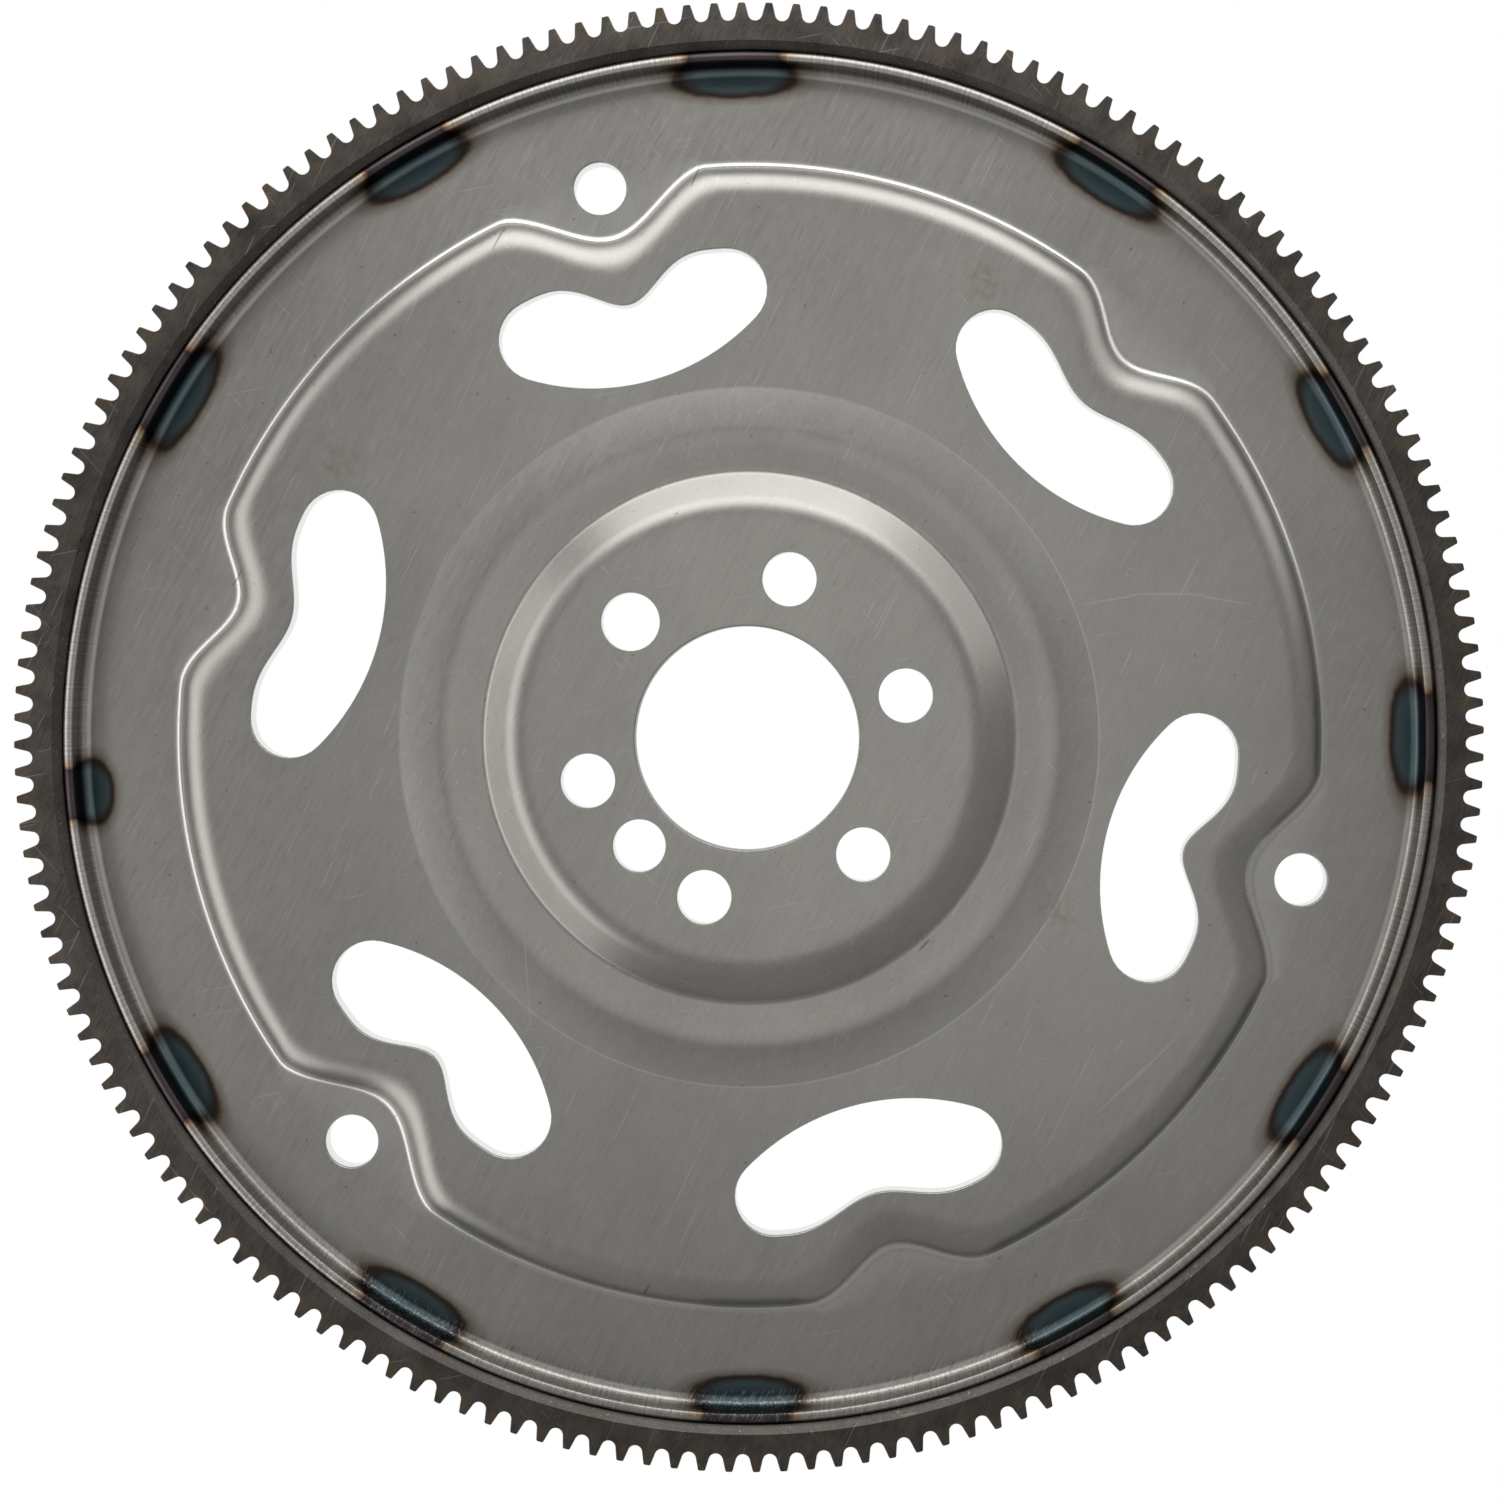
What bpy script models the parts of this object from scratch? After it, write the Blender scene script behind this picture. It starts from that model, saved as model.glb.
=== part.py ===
"""A steel flexplate: a pressed disc with a star-shaped step, its starter ring gear and its welds.

The axis is Z. The side that the disc's rim is bent up to faces up, and the ring gear's back face lies on
z = 0. Sizes are in metres and angles in degrees, counter-clockwise from +X as seen from above.
"""
import math

import bmesh
import bpy
from mathutils import Vector

# Gap between pieces that touch on the real part
FIT_CLEARANCE = 0.0003

# Starter ring gear: coarse stub teeth with round gullets, and a chamfer at the front of its bore
TOOTH_COUNT = 168
TOOTH_MODULE = 0.0021167
TOOTH_ADDENDUM = 0.0018
TOOTH_DEPTH = 0.0044
TIP_LAND = 0.0017
FLANK_ANGLE = 14.0
TOOTH_PHASE = 0.58
RING_RIM = 0.0064
RING_WIDTH = 0.0098
RING_CHAMFER = 0.0016

# Sheet, and the rim bent up from it
SHEET = 0.0028
FLOOR_DROP = 0.0048
LIP_DROP = 0.0003
CORNER_RADIUS = 0.0020
EDGE_BREAK = 0.0007

# Star-shaped step between the outer floor and the plateau
STAR_ANGLE = 105.4
DIP_COUNT = 6
FLOOR_WIDTH = 0.0208
STEP_ROLL = 0.0118
STEP_FOOT = 0.0026
STEP_SLOPE = 45.0
HOLE_DIP_DEPTH = 0.0132
HOLE_DIP_HALF = 10.3
HOLE_DIP_POWER = 1.5
PLAIN_DIP_DEPTH = 0.0100
PLAIN_DIP_HALF = 9.0
PLAIN_DIP_POWER = 2.0
DIP_DEEPENING = 0.0030
DIP_SPREAD = 3.0

# Hub: the crank pad, the slope down from it, the valley and the bead outside the valley
PAD_RADIUS = 0.0525
PAD_ROLL = 0.0115
PAD_SLOPE = 33.0
PAD_SLOPE_RUN = 0.00644
VALLEY_RUN = 0.0060
BEAD_FRONT_RUN = 0.0028
BEAD_BACK_RUN = 0.0030
BEAD_SKIRT_RUN = 0.0085
BEAD_RISE = 0.0020
BEAD_FALL = 0.0018
BEAD_ROUND = 0.0003

# Holes; a wall is the steel left between the bore and the nearest bolt hole
BORE_RADIUS = 0.0269
CRANK_WALL = 0.0061
CRANK_ANGLE = 15.0
CRANK_COUNT = 6
CRANK_HOLE = 0.0065
LOCATING_HOLE = 0.0070
LOCATING_INDEX = 2
EXTRA_WALL = 0.0033
EXTRA_ANGLE = 225.0
EXTRA_HOLE = 0.0063
CONVERTER_CIRCLE = 0.1413
CONVERTER_HOLE = 0.0065

# Kidney slots behind the dips that have a converter hole; the gap is the one to the bead
HOLE_SLOT_GAP = 0.0052
HOLE_SLOT_WIDTH = 0.0292
HOLE_SLOT_NOTCH = 0.0100
HOLE_SLOT_NOTCH_POWER = 4.0
HOLE_SLOT_CAP_SHARE = 0.339
HOLE_SLOT_CAP_ANGLE = 12.5

# Kidney slots behind the dips that have none
PLAIN_SLOT_GAP = 0.0084
PLAIN_SLOT_WIDTH = 0.0283
PLAIN_SLOT_NOTCH = 0.0064
PLAIN_SLOT_NOTCH_POWER = 3.0
PLAIN_SLOT_CAP_SHARE = 0.338
PLAIN_SLOT_CAP_ANGLE = 12.3

# Weld runs on the back: the angle of each run's middle, and half of the angle that it covers
WELD_ANGLES = (0.0, 28.7, 57.2, 91.3, 120.4, 149.2, 184.8, 210.9, 239.2, 269.8, 298.7, 327.2)
WELD_HALF = 4.6
SHORT_WELD_HALF = 2.3
SHORT_WELD_INDEX = 6
WELD_LEG = 0.0033
WELD_START = -80.0
WELD_END = -36.0
WELD_BULGE = 0.0007
WELD_END_SHARE = 0.4

# Facets
GULLET_STEPS = 3
CORNER_STEPS = 2
STEP_STEPS = 3
PAD_STEPS = 2
HUB_COLUMNS = 60
OUTER_COLUMNS = 120
DIP_CROWDING = 0.45
HOLE_COLUMNS = 20
CAP_STEPS = 5
NOTCH_STEPS = 8
BACK_STEPS = 8
WELD_STEPS = 5
WELD_ARC_STEPS = 3
CUT_MARGIN = 0.004
SMOOTH_ANGLE = 30.0
BREAK_ANGLE = 65.0

# Points closer together than this count as one place
NEAR = 0.00001

# Places that follow from the sizes
TIP_RADIUS = TOOTH_MODULE * TOOTH_COUNT / 2 + TOOTH_ADDENDUM
ROOT_RADIUS = TIP_RADIUS - TOOTH_DEPTH
RING_BORE = ROOT_RADIUS - RING_RIM
RIM_OUTER = RING_BORE - FIT_CLEARANCE
RIM_INNER = RIM_OUTER - SHEET
FLOOR_OUTER = RIM_INNER - CORNER_RADIUS
FLOOR_Z = RING_WIDTH - FLOOR_DROP
LIP_Z = RING_WIDTH - LIP_DROP
STEP_RADIUS = FLOOR_OUTER - FLOOR_WIDTH
STEP_RUN = (STEP_ROLL + STEP_FOOT) * math.sin(math.radians(STEP_SLOPE))
STEP_HEIGHT = (STEP_ROLL + STEP_FOOT) * (1 - math.cos(math.radians(STEP_SLOPE)))
STEP_TOP_RADIUS = STEP_RADIUS - STEP_RUN
PLATEAU_Z = FLOOR_Z + STEP_HEIGHT
CREST_Z = PLATEAU_Z + BEAD_FALL
VALLEY_Z = CREST_Z - BEAD_RISE
PAD_ROLL_RUN = PAD_ROLL * math.sin(math.radians(PAD_SLOPE))
PAD_ROLL_DROP = PAD_ROLL * (1 - math.cos(math.radians(PAD_SLOPE)))
PAD_Z = VALLEY_Z + PAD_ROLL_DROP + PAD_SLOPE_RUN * math.tan(math.radians(PAD_SLOPE))
VALLEY_RADIUS = PAD_RADIUS + PAD_ROLL_RUN + PAD_SLOPE_RUN
BEAD_INNER = VALLEY_RADIUS + VALLEY_RUN
BEAD_CREST = BEAD_INNER + BEAD_FRONT_RUN
BEAD_OUTER = BEAD_CREST + BEAD_BACK_RUN
BEAD_EDGE = BEAD_OUTER + BEAD_SKIRT_RUN
SECTOR = 360.0 / DIP_COUNT
CRANK_CIRCLE = BORE_RADIUS + CRANK_WALL + CRANK_HOLE
EXTRA_CIRCLE = BORE_RADIUS + EXTRA_WALL + EXTRA_HOLE


def clear_scene():
    for item in list(bpy.data.objects):
        bpy.data.objects.remove(item, do_unlink=True)


def steel(name, colour, roughness, metallic):
    material = bpy.data.materials.new(name)
    material.use_nodes = True
    shader = material.node_tree.nodes["Principled BSDF"]
    shader.inputs["Base Color"].default_value = (*colour, 1.0)
    shader.inputs["Roughness"].default_value = roughness
    shader.inputs["Metallic"].default_value = metallic
    return material


def polar(radius, degrees, z=0.0):
    angle = math.radians(degrees)
    return Vector((radius * math.cos(angle), radius * math.sin(angle), z))


def finish_object(name, builder, material=None):
    """Make an object from a bmesh, with round surfaces smooth and folds sharp."""
    mesh = bpy.data.meshes.new(name)
    builder.to_mesh(mesh)
    builder.free()
    mesh.shade_smooth()
    mesh.set_sharp_from_angle(angle=math.radians(SMOOTH_ANGLE))
    if material:
        mesh.materials.append(material)
    item = bpy.data.objects.new(name, mesh)
    bpy.context.scene.collection.objects.link(item)
    return item


def cut_away(item, cutter):
    cutter.hide_render = True
    cutter.display_type = "WIRE"
    boolean = item.modifiers.new("Cut " + cutter.name, "BOOLEAN")
    boolean.operation = "DIFFERENCE"
    boolean.solver = "EXACT"
    boolean.object = cutter


def extrude_outline(builder, outline, bottom, top):
    """Raise a flat outline of points into a closed prism between two heights."""
    corners = [builder.verts.new((point.x, point.y, bottom)) for point in outline]
    face = builder.faces.new(corners)
    raised = bmesh.ops.extrude_face_region(builder, geom=[face])
    moved = [part for part in raised["geom"] if isinstance(part, bmesh.types.BMVert)]
    bmesh.ops.translate(builder, verts=moved, vec=(0.0, 0.0, top - bottom))


def spin_line(builder, profile, columns, start_angle):
    """Turn a line of (radius, z) points once round the axis."""
    verts = [builder.verts.new(polar(radius, start_angle, z)) for radius, z in profile]
    edges = [builder.edges.new(pair) for pair in zip(verts, verts[1:])]
    bmesh.ops.spin(builder, geom=verts + edges, cent=(0.0, 0.0, 0.0), axis=(0.0, 0.0, 1.0),
                   angle=math.tau, steps=columns, use_merge=True, use_duplicate=False)


# Ring gear

def gullet_outline(middle):
    """Points of the round gullet at an angle: one arc that touches both flanks and the root."""
    half_pitch = math.pi / TOOTH_COUNT
    lean = half_pitch + math.radians(FLANK_ANGLE)
    corner_angle = half_pitch - TIP_LAND / 2 / TIP_RADIUS
    corner_out = TIP_RADIUS * math.cos(corner_angle) - ROOT_RADIUS
    corner_side = TIP_RADIUS * math.sin(corner_angle)
    radius = (corner_side * math.cos(lean) - corner_out * math.sin(lean)) / (1 - math.sin(lean))
    centre = polar(ROOT_RADIUS + radius, middle)
    first = middle + 270.0 - math.degrees(lean)
    sweep = 180.0 - 2 * math.degrees(lean)
    return [centre + polar(radius, first - sweep * step / GULLET_STEPS)
            for step in range(GULLET_STEPS + 1)]


def toothed_outline():
    pitch = 360.0 / TOOTH_COUNT
    half_land = math.degrees(TIP_LAND / 2 / TIP_RADIUS)
    outline = []
    for index in range(TOOTH_COUNT):
        middle = TOOTH_PHASE + index * pitch
        outline += [polar(TIP_RADIUS, middle - half_land), polar(TIP_RADIUS, middle + half_land)]
        outline += gullet_outline(middle + pitch / 2)
    return outline


def make_bore_cutter():
    """The ring's bore as a turned plug, flaring into the chamfer at the front face."""
    flare = RING_BORE + RING_CHAMFER + CUT_MARGIN
    profile = [(0.0, -CUT_MARGIN), (RING_BORE, -CUT_MARGIN), (RING_BORE, RING_WIDTH - RING_CHAMFER),
               (flare, RING_WIDTH + CUT_MARGIN), (0.0, RING_WIDTH + CUT_MARGIN)]
    builder = bmesh.new()
    spin_line(builder, profile, TOOTH_COUNT, TOOTH_PHASE)
    bmesh.ops.remove_doubles(builder, verts=builder.verts, dist=NEAR)
    bmesh.ops.recalc_face_normals(builder, faces=builder.faces)
    return finish_object("ring_bore_cutter", builder)


def make_ring_gear(material):
    builder = bmesh.new()
    extrude_outline(builder, toothed_outline(), 0.0, RING_WIDTH)
    bmesh.ops.recalc_face_normals(builder, faces=builder.faces)
    ring = finish_object("ring_gear", builder, material)
    cut_away(ring, make_bore_cutter())
    return ring


# Disc: the upper surface of the pressing is spun, pressed into the star, and given the sheet's thickness

def hub_line():
    """Upper surface from the bore to the bead's outer fold."""
    points = [(BORE_RADIUS, PAD_Z)]
    for step in range(PAD_STEPS + 1):
        bend = math.radians(PAD_SLOPE * step / PAD_STEPS)
        points.append((PAD_RADIUS + PAD_ROLL * math.sin(bend), PAD_Z - PAD_ROLL * (1 - math.cos(bend))))
    points.append((VALLEY_RADIUS, VALLEY_Z))
    points.append((BEAD_INNER, CREST_Z - BEAD_ROUND))
    points.append((BEAD_CREST, CREST_Z))
    points.append((BEAD_OUTER, CREST_Z - BEAD_ROUND))
    points.append((BEAD_EDGE, PLATEAU_Z))
    return points


def rim_line():
    """Upper surface from the plateau's edge down the step, over the floor and up to the rim's lip."""
    points = []
    for step in range(STEP_STEPS + 1):
        bend = math.radians(STEP_SLOPE * step / STEP_STEPS)
        points.append((STEP_TOP_RADIUS + STEP_ROLL * math.sin(bend),
                       PLATEAU_Z - STEP_ROLL * (1 - math.cos(bend))))
    points.append((STEP_RADIUS, FLOOR_Z))
    for step in range(CORNER_STEPS + 1):
        bend = math.radians(90.0 * step / CORNER_STEPS)
        points.append((FLOOR_OUTER + CORNER_RADIUS * math.sin(bend),
                       FLOOR_Z + CORNER_RADIUS * (1 - math.cos(bend))))
    points.append((RIM_INNER, LIP_Z))
    return points


def circle_edges(builder, radius):
    """Edges whose two ends lie on a circle round the axis."""
    return [edge for edge in builder.edges
            if all(abs(vert.co.xy.length - radius) < NEAR for vert in edge.verts)]


def face_upwards(builder):
    """Make the faces of an open surface agree, with the pad's normals up."""
    bmesh.ops.recalc_face_normals(builder, faces=builder.faces)
    pad = max(builder.faces, key=lambda face: face.calc_center_median().z)
    if pad.normal.z < 0:
        bmesh.ops.reverse_faces(builder, faces=builder.faces)


def dip_at(degrees):
    """Offset from the nearest dip's middle, and whether that dip has a converter hole."""
    turns = (degrees - STAR_ANGLE) / SECTOR
    index = round(turns)
    return (turns - index) * SECTOR, index % 2 == 0


def dip_share(offset, half, power):
    """How deep the dip is at an offset from its middle: 1 there, and 0 from its half angle on."""
    return max(0.0, math.cos(math.pi / 2 * min(1.0, abs(offset) / half))) ** power


def press_star(builder):
    """Crowd the step's columns towards each dip, and press the dips inwards."""
    for vert in builder.verts:
        radius = vert.co.xy.length
        if not STEP_TOP_RADIUS - NEAR < radius < STEP_RADIUS + NEAR:
            continue
        degrees = math.degrees(math.atan2(vert.co.y, vert.co.x))
        offset, has_hole = dip_at(degrees)
        crowded = offset - DIP_CROWDING * SECTOR / math.tau * math.sin(math.tau * offset / SECTOR)
        half = HOLE_DIP_HALF if has_hole else PLAIN_DIP_HALF
        depth = HOLE_DIP_DEPTH if has_hole else PLAIN_DIP_DEPTH
        power = HOLE_DIP_POWER if has_hole else PLAIN_DIP_POWER
        inward = min(1.0, max(0.0, (STEP_RADIUS - radius) / STEP_RUN))
        share = dip_share(crowded, half + DIP_SPREAD * inward, power + (2.0 - power) * inward)
        pressed = radius - (depth + DIP_DEEPENING * inward) * share
        vert.co = polar(pressed, degrees - offset + crowded, vert.co.z)


def slot_outline(middle, gap, width, notch, notch_power, cap_share, cap_angle):
    """A kidney slot about an angle: an arc towards the hub, round ends, and a dip in its outer edge."""
    inner = BEAD_EDGE + gap
    outer = inner + width
    cap = cap_share * width
    end = polar(outer - cap, cap_angle)
    mirrored_end = polar(outer - cap, -cap_angle)
    back_radius = (cap ** 2 - (inner - end.x) ** 2 - end.y ** 2) / (2 * (cap + inner - end.x))
    back = Vector((inner + back_radius, 0.0, 0.0))
    lean = math.degrees(math.atan2(end.y, end.x - back.x))
    outline = []
    for step in range(-NOTCH_STEPS, NOTCH_STEPS + 1):
        angle = cap_angle * step / NOTCH_STEPS
        outline.append(polar(outer - notch * dip_share(angle, cap_angle, notch_power), angle))
    for step in range(1, CAP_STEPS + 1):
        outline.append(end + polar(cap, cap_angle + (lean - cap_angle) * step / CAP_STEPS))
    for step in range(1, BACK_STEPS):
        outline.append(back + polar(back_radius, lean + 2 * (180.0 - lean) * step / BACK_STEPS))
    for step in range(CAP_STEPS):
        share = 1 - step / CAP_STEPS
        outline.append(mirrored_end + polar(cap, -cap_angle - (lean - cap_angle) * share))
    return [polar(point.length, math.degrees(math.atan2(point.y, point.x)) + middle)
            for point in outline]


def make_slot_cutters():
    builder = bmesh.new()
    for index in range(DIP_COUNT):
        middle = STAR_ANGLE + SECTOR * index
        if index % 2 == 0:
            outline = slot_outline(middle, HOLE_SLOT_GAP, HOLE_SLOT_WIDTH, HOLE_SLOT_NOTCH,
                                   HOLE_SLOT_NOTCH_POWER, HOLE_SLOT_CAP_SHARE, HOLE_SLOT_CAP_ANGLE)
        else:
            outline = slot_outline(middle, PLAIN_SLOT_GAP, PLAIN_SLOT_WIDTH, PLAIN_SLOT_NOTCH,
                                   PLAIN_SLOT_NOTCH_POWER, PLAIN_SLOT_CAP_SHARE,
                                   PLAIN_SLOT_CAP_ANGLE)
        extrude_outline(builder, outline, FLOOR_Z - SHEET - CUT_MARGIN, PLATEAU_Z + CUT_MARGIN)
    bmesh.ops.recalc_face_normals(builder, faces=builder.faces)
    return finish_object("slot_cutters", builder)


def add_drill(builder, radius, centre):
    outline = [centre + polar(radius, 360.0 * step / HOLE_COLUMNS) for step in range(HOLE_COLUMNS)]
    extrude_outline(builder, outline, FLOOR_Z - SHEET - CUT_MARGIN, PAD_Z + CUT_MARGIN)


def make_drills():
    builder = bmesh.new()
    for index in range(CRANK_COUNT):
        radius = LOCATING_HOLE if index == LOCATING_INDEX else CRANK_HOLE
        add_drill(builder, radius, polar(CRANK_CIRCLE, CRANK_ANGLE + 360.0 * index / CRANK_COUNT))
    add_drill(builder, EXTRA_HOLE, polar(EXTRA_CIRCLE, EXTRA_ANGLE))
    for index in range(0, DIP_COUNT, 2):
        add_drill(builder, CONVERTER_HOLE, polar(CONVERTER_CIRCLE, STAR_ANGLE + SECTOR * index))
    bmesh.ops.recalc_face_normals(builder, faces=builder.faces)
    return finish_object("drills", builder)


def make_disc(material):
    builder = bmesh.new()
    spin_line(builder, hub_line(), HUB_COLUMNS, STAR_ANGLE)
    spin_line(builder, rim_line(), OUTER_COLUMNS, STAR_ANGLE)
    plateau_edges = circle_edges(builder, BEAD_EDGE) + circle_edges(builder, STEP_TOP_RADIUS)
    bmesh.ops.bridge_loops(builder, edges=plateau_edges)
    press_star(builder)
    face_upwards(builder)
    disc = finish_object("disc", builder, material)
    sheet = disc.modifiers.new("Sheet", "SOLIDIFY")
    sheet.thickness = SHEET
    sheet.offset = -1.0
    sheet.use_even_offset = True
    edge = disc.modifiers.new("Broken edges", "BEVEL")
    edge.limit_method = "ANGLE"
    edge.angle_limit = math.radians(BREAK_ANGLE)
    edge.width = EDGE_BREAK
    edge.segments = 1
    cut_away(disc, make_slot_cutters())
    cut_away(disc, make_drills())
    return disc


# Weld runs in the groove between the rim's heel and the ring's bore, on the back

def weld_section():
    """Section of a run as (radius, z): along the heel, down the ring's bore, back over its face."""
    heel = CORNER_RADIUS + SHEET + FIT_CLEARANCE
    section = []
    for step in range(WELD_ARC_STEPS + 1):
        angle = math.radians(WELD_START + (WELD_END - WELD_START) * step / WELD_ARC_STEPS)
        section.append((FLOOR_OUTER + heel * math.cos(angle),
                        FLOOR_Z + CORNER_RADIUS + heel * math.sin(angle)))
    wall = RING_BORE - FIT_CLEARANCE
    top = section[-1][1] + FIT_CLEARANCE
    section.append((wall, top))
    section.append((wall, top - WELD_LEG))
    first = Vector(section[0])
    last = Vector(section[-1])
    across = (first - last).normalized()
    outward = Vector((across.y, -across.x))
    middle = (first + last) / 2
    bulge = middle + outward * WELD_BULGE if outward.y < 0 else middle - outward * WELD_BULGE
    section.append((bulge.x, bulge.y))
    return section


def make_weld(name, middle, half, material):
    """One run: its section turned through its angle, and drawn in towards the root at both ends."""
    section = weld_section()
    root = Vector(section[WELD_ARC_STEPS])
    builder = bmesh.new()
    corners = [builder.verts.new(polar(radius, middle - half, z)) for radius, z in section]
    face = builder.faces.new(corners)
    bmesh.ops.spin(builder, geom=[face], cent=(0.0, 0.0, 0.0), axis=(0.0, 0.0, 1.0),
                   angle=math.radians(2 * half), steps=WELD_STEPS, use_duplicate=False)
    for vert in builder.verts:
        degrees = math.degrees(math.atan2(vert.co.y, vert.co.x))
        along = ((degrees - middle + 180.0) % 360.0 - 180.0) / half
        share = 1 - (1 - WELD_END_SHARE) * along ** 6
        place = root + (Vector((vert.co.xy.length, vert.co.z)) - root) * share
        vert.co = polar(place.x, degrees, place.y)
    bmesh.ops.recalc_face_normals(builder, faces=builder.faces)
    return finish_object(name, builder, material)


def main():
    clear_scene()
    sheet_steel = steel("Sheet steel", (0.33, 0.32, 0.30), 0.42, 1.0)
    ring_steel = steel("Ring steel", (0.15, 0.135, 0.125), 0.5, 1.0)
    weld_steel = steel("Weld metal", (0.14, 0.15, 0.17), 0.55, 1.0)
    make_disc(sheet_steel)
    make_ring_gear(ring_steel)
    for index, middle in enumerate(WELD_ANGLES):
        half = SHORT_WELD_HALF if index == SHORT_WELD_INDEX else WELD_HALF
        make_weld(f"weld_bead_{index + 1:02d}", middle, half, weld_steel)


main()
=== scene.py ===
"""A steel flexplate with its starter ring gear, finished over its CAD frame and set on a plain floor.

The axis is Z, the ring gear's back face lies on z = 0 and the photographed side is up. Sizes are in metres
and angles in degrees, counter-clockwise from +X as seen from above.
"""
import math

import bmesh
import bpy
from bpy.props import FloatProperty, FloatVectorProperty, IntProperty, PointerProperty
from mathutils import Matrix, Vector


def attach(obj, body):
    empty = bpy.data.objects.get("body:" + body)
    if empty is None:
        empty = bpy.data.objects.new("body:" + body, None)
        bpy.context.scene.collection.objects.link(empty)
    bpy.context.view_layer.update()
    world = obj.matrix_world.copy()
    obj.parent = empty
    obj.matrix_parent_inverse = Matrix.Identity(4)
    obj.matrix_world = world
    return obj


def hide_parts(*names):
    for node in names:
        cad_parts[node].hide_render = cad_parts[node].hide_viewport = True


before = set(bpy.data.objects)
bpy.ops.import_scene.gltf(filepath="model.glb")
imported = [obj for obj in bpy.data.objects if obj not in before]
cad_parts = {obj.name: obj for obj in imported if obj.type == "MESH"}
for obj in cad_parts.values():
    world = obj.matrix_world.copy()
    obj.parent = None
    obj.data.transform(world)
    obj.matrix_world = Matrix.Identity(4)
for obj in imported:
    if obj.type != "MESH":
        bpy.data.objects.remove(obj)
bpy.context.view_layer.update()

bl_info = {
    "name": "Flexplate",
    "version": (1, 0, 0),
    "blender": (4, 5, 0),
    "location": "3D View > Sidebar > Flexplate",
    "description": "Builds a pressed steel flexplate with a welded starter ring gear",
    "category": "Add Mesh",
}

# Starter ring gear
TOOTH_COUNT = 168
TOOTH_MODULE = 0.0021167
TOOTH_ADDENDUM = 0.0018
TOOTH_DEPTH = 0.0044
TIP_LAND = 0.0017
FLANK_ANGLE = 14.0
TOOTH_PHASE = 0.58
RING_RIM = 0.0064
RING_WIDTH = 0.0098
RING_CHAMFER = 0.0016
RING_BACK_EDGE = 0.0003
RING_CHAMFER_FILLET = 0.0006

# Gap between pieces that touch on the real plate
FIT_CLEARANCE = 0.0003

# Sheet, and the rim bent up from it
SHEET = 0.0028
FLOOR_DROP = 0.0048
LIP_DROP = 0.0003
CORNER_RADIUS = 0.0020

# Star-shaped step between the outer floor and the plateau
STAR_ANGLE = 105.4
DIP_COUNT = 6
FLOOR_WIDTH = 0.0208
STEP_ROLL = 0.0118
STEP_FOOT = 0.0026
STEP_SLOPE = 45.0
HOLE_DIP_DEPTH = 0.0132
HOLE_DIP_HALF = 10.3
HOLE_DIP_POWER = 1.5
PLAIN_DIP_DEPTH = 0.0100
PLAIN_DIP_HALF = 9.0
PLAIN_DIP_POWER = 2.0
DIP_DEEPENING = 0.0030
DIP_SPREAD = 3.0
DIP_CROWDING = 0.45

# Hub: the crank pad, the slope down from it, the valley and the bead outside the valley
PAD_RADIUS = 0.0525
PAD_ROLL = 0.0115
PAD_SLOPE = 33.0
PAD_SLOPE_RUN = 0.00644
VALLEY_RUN = 0.0060
VALLEY_FILLET = 0.0025
BEAD_FRONT_RUN = 0.0028
BEAD_BACK_RUN = 0.0030
BEAD_SKIRT_RUN = 0.0085
BEAD_RISE = 0.0020
BEAD_FALL = 0.0018
BEAD_ROUND = 0.0003
BEAD_ROLL = 0.0125
BEAD_EDGE_FILLET = 0.0008

# Holes; a wall is the steel left between the bore and the nearest bolt hole
BORE_RADIUS = 0.0269
CRANK_WALL = 0.0061
CRANK_ANGLE = 15.0
CRANK_COUNT = 6
CRANK_HOLE = 0.0065
LOCATING_HOLE = 0.0070
LOCATING_INDEX = 2
EXTRA_WALL = 0.0033
EXTRA_ANGLE = 225.0
EXTRA_HOLE = 0.0063
CONVERTER_CIRCLE = 0.1413
CONVERTER_HOLE = 0.0065

# Kidney slots: gap to the bead, width, depth and sharpness of the dip in the outer edge, radius of the
# round ends as a share of the width, and the ends' angle
HOLE_SLOT = (0.0052, 0.0292, 0.0100, 4.0, 0.339, 12.5)
PLAIN_SLOT = (0.0084, 0.0283, 0.0064, 3.0, 0.338, 12.3)

# Weld runs on the back: the angle of each run's middle, and half of the angle that it covers
WELD_ANGLES = (0.0, 28.7, 57.2, 91.3, 120.4, 149.2, 184.8, 210.9, 239.2, 269.8, 298.7, 327.2)
WELD_HALF = 4.6
SHORT_WELD_HALF = 2.3
SHORT_WELD_INDEX = 6
WELD_LEG = 0.0033
WELD_START = -80.0
WELD_END = -36.0
WELD_BULGE = 0.0007
WELD_END_SHARE = 0.4

# Facets
HUB_COLUMNS = 240
OUTER_COLUMNS = 480
HOLE_COLUMNS = 60
STEP_STEPS = 12
FOOT_STEPS = 5
CAP_STEPS = 12
NOTCH_STEPS = 20
BACK_STEPS = 24
GULLET_STEPS = 9
FLOOR_STEPS = 14
LIP_STEPS = 5
WELD_STEPS = 60
WELD_ARC_STEPS = 6
WELD_FACE_STEPS = 8
TURN_STEP = 5.0
SMOOTH_ANGLE = 32.0
CUT_MARGIN = 0.004
SUPPORT = 0.0006

# Points closer together than this count as one place
NEAR = 0.00001
MERGE = 0.000001

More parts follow.
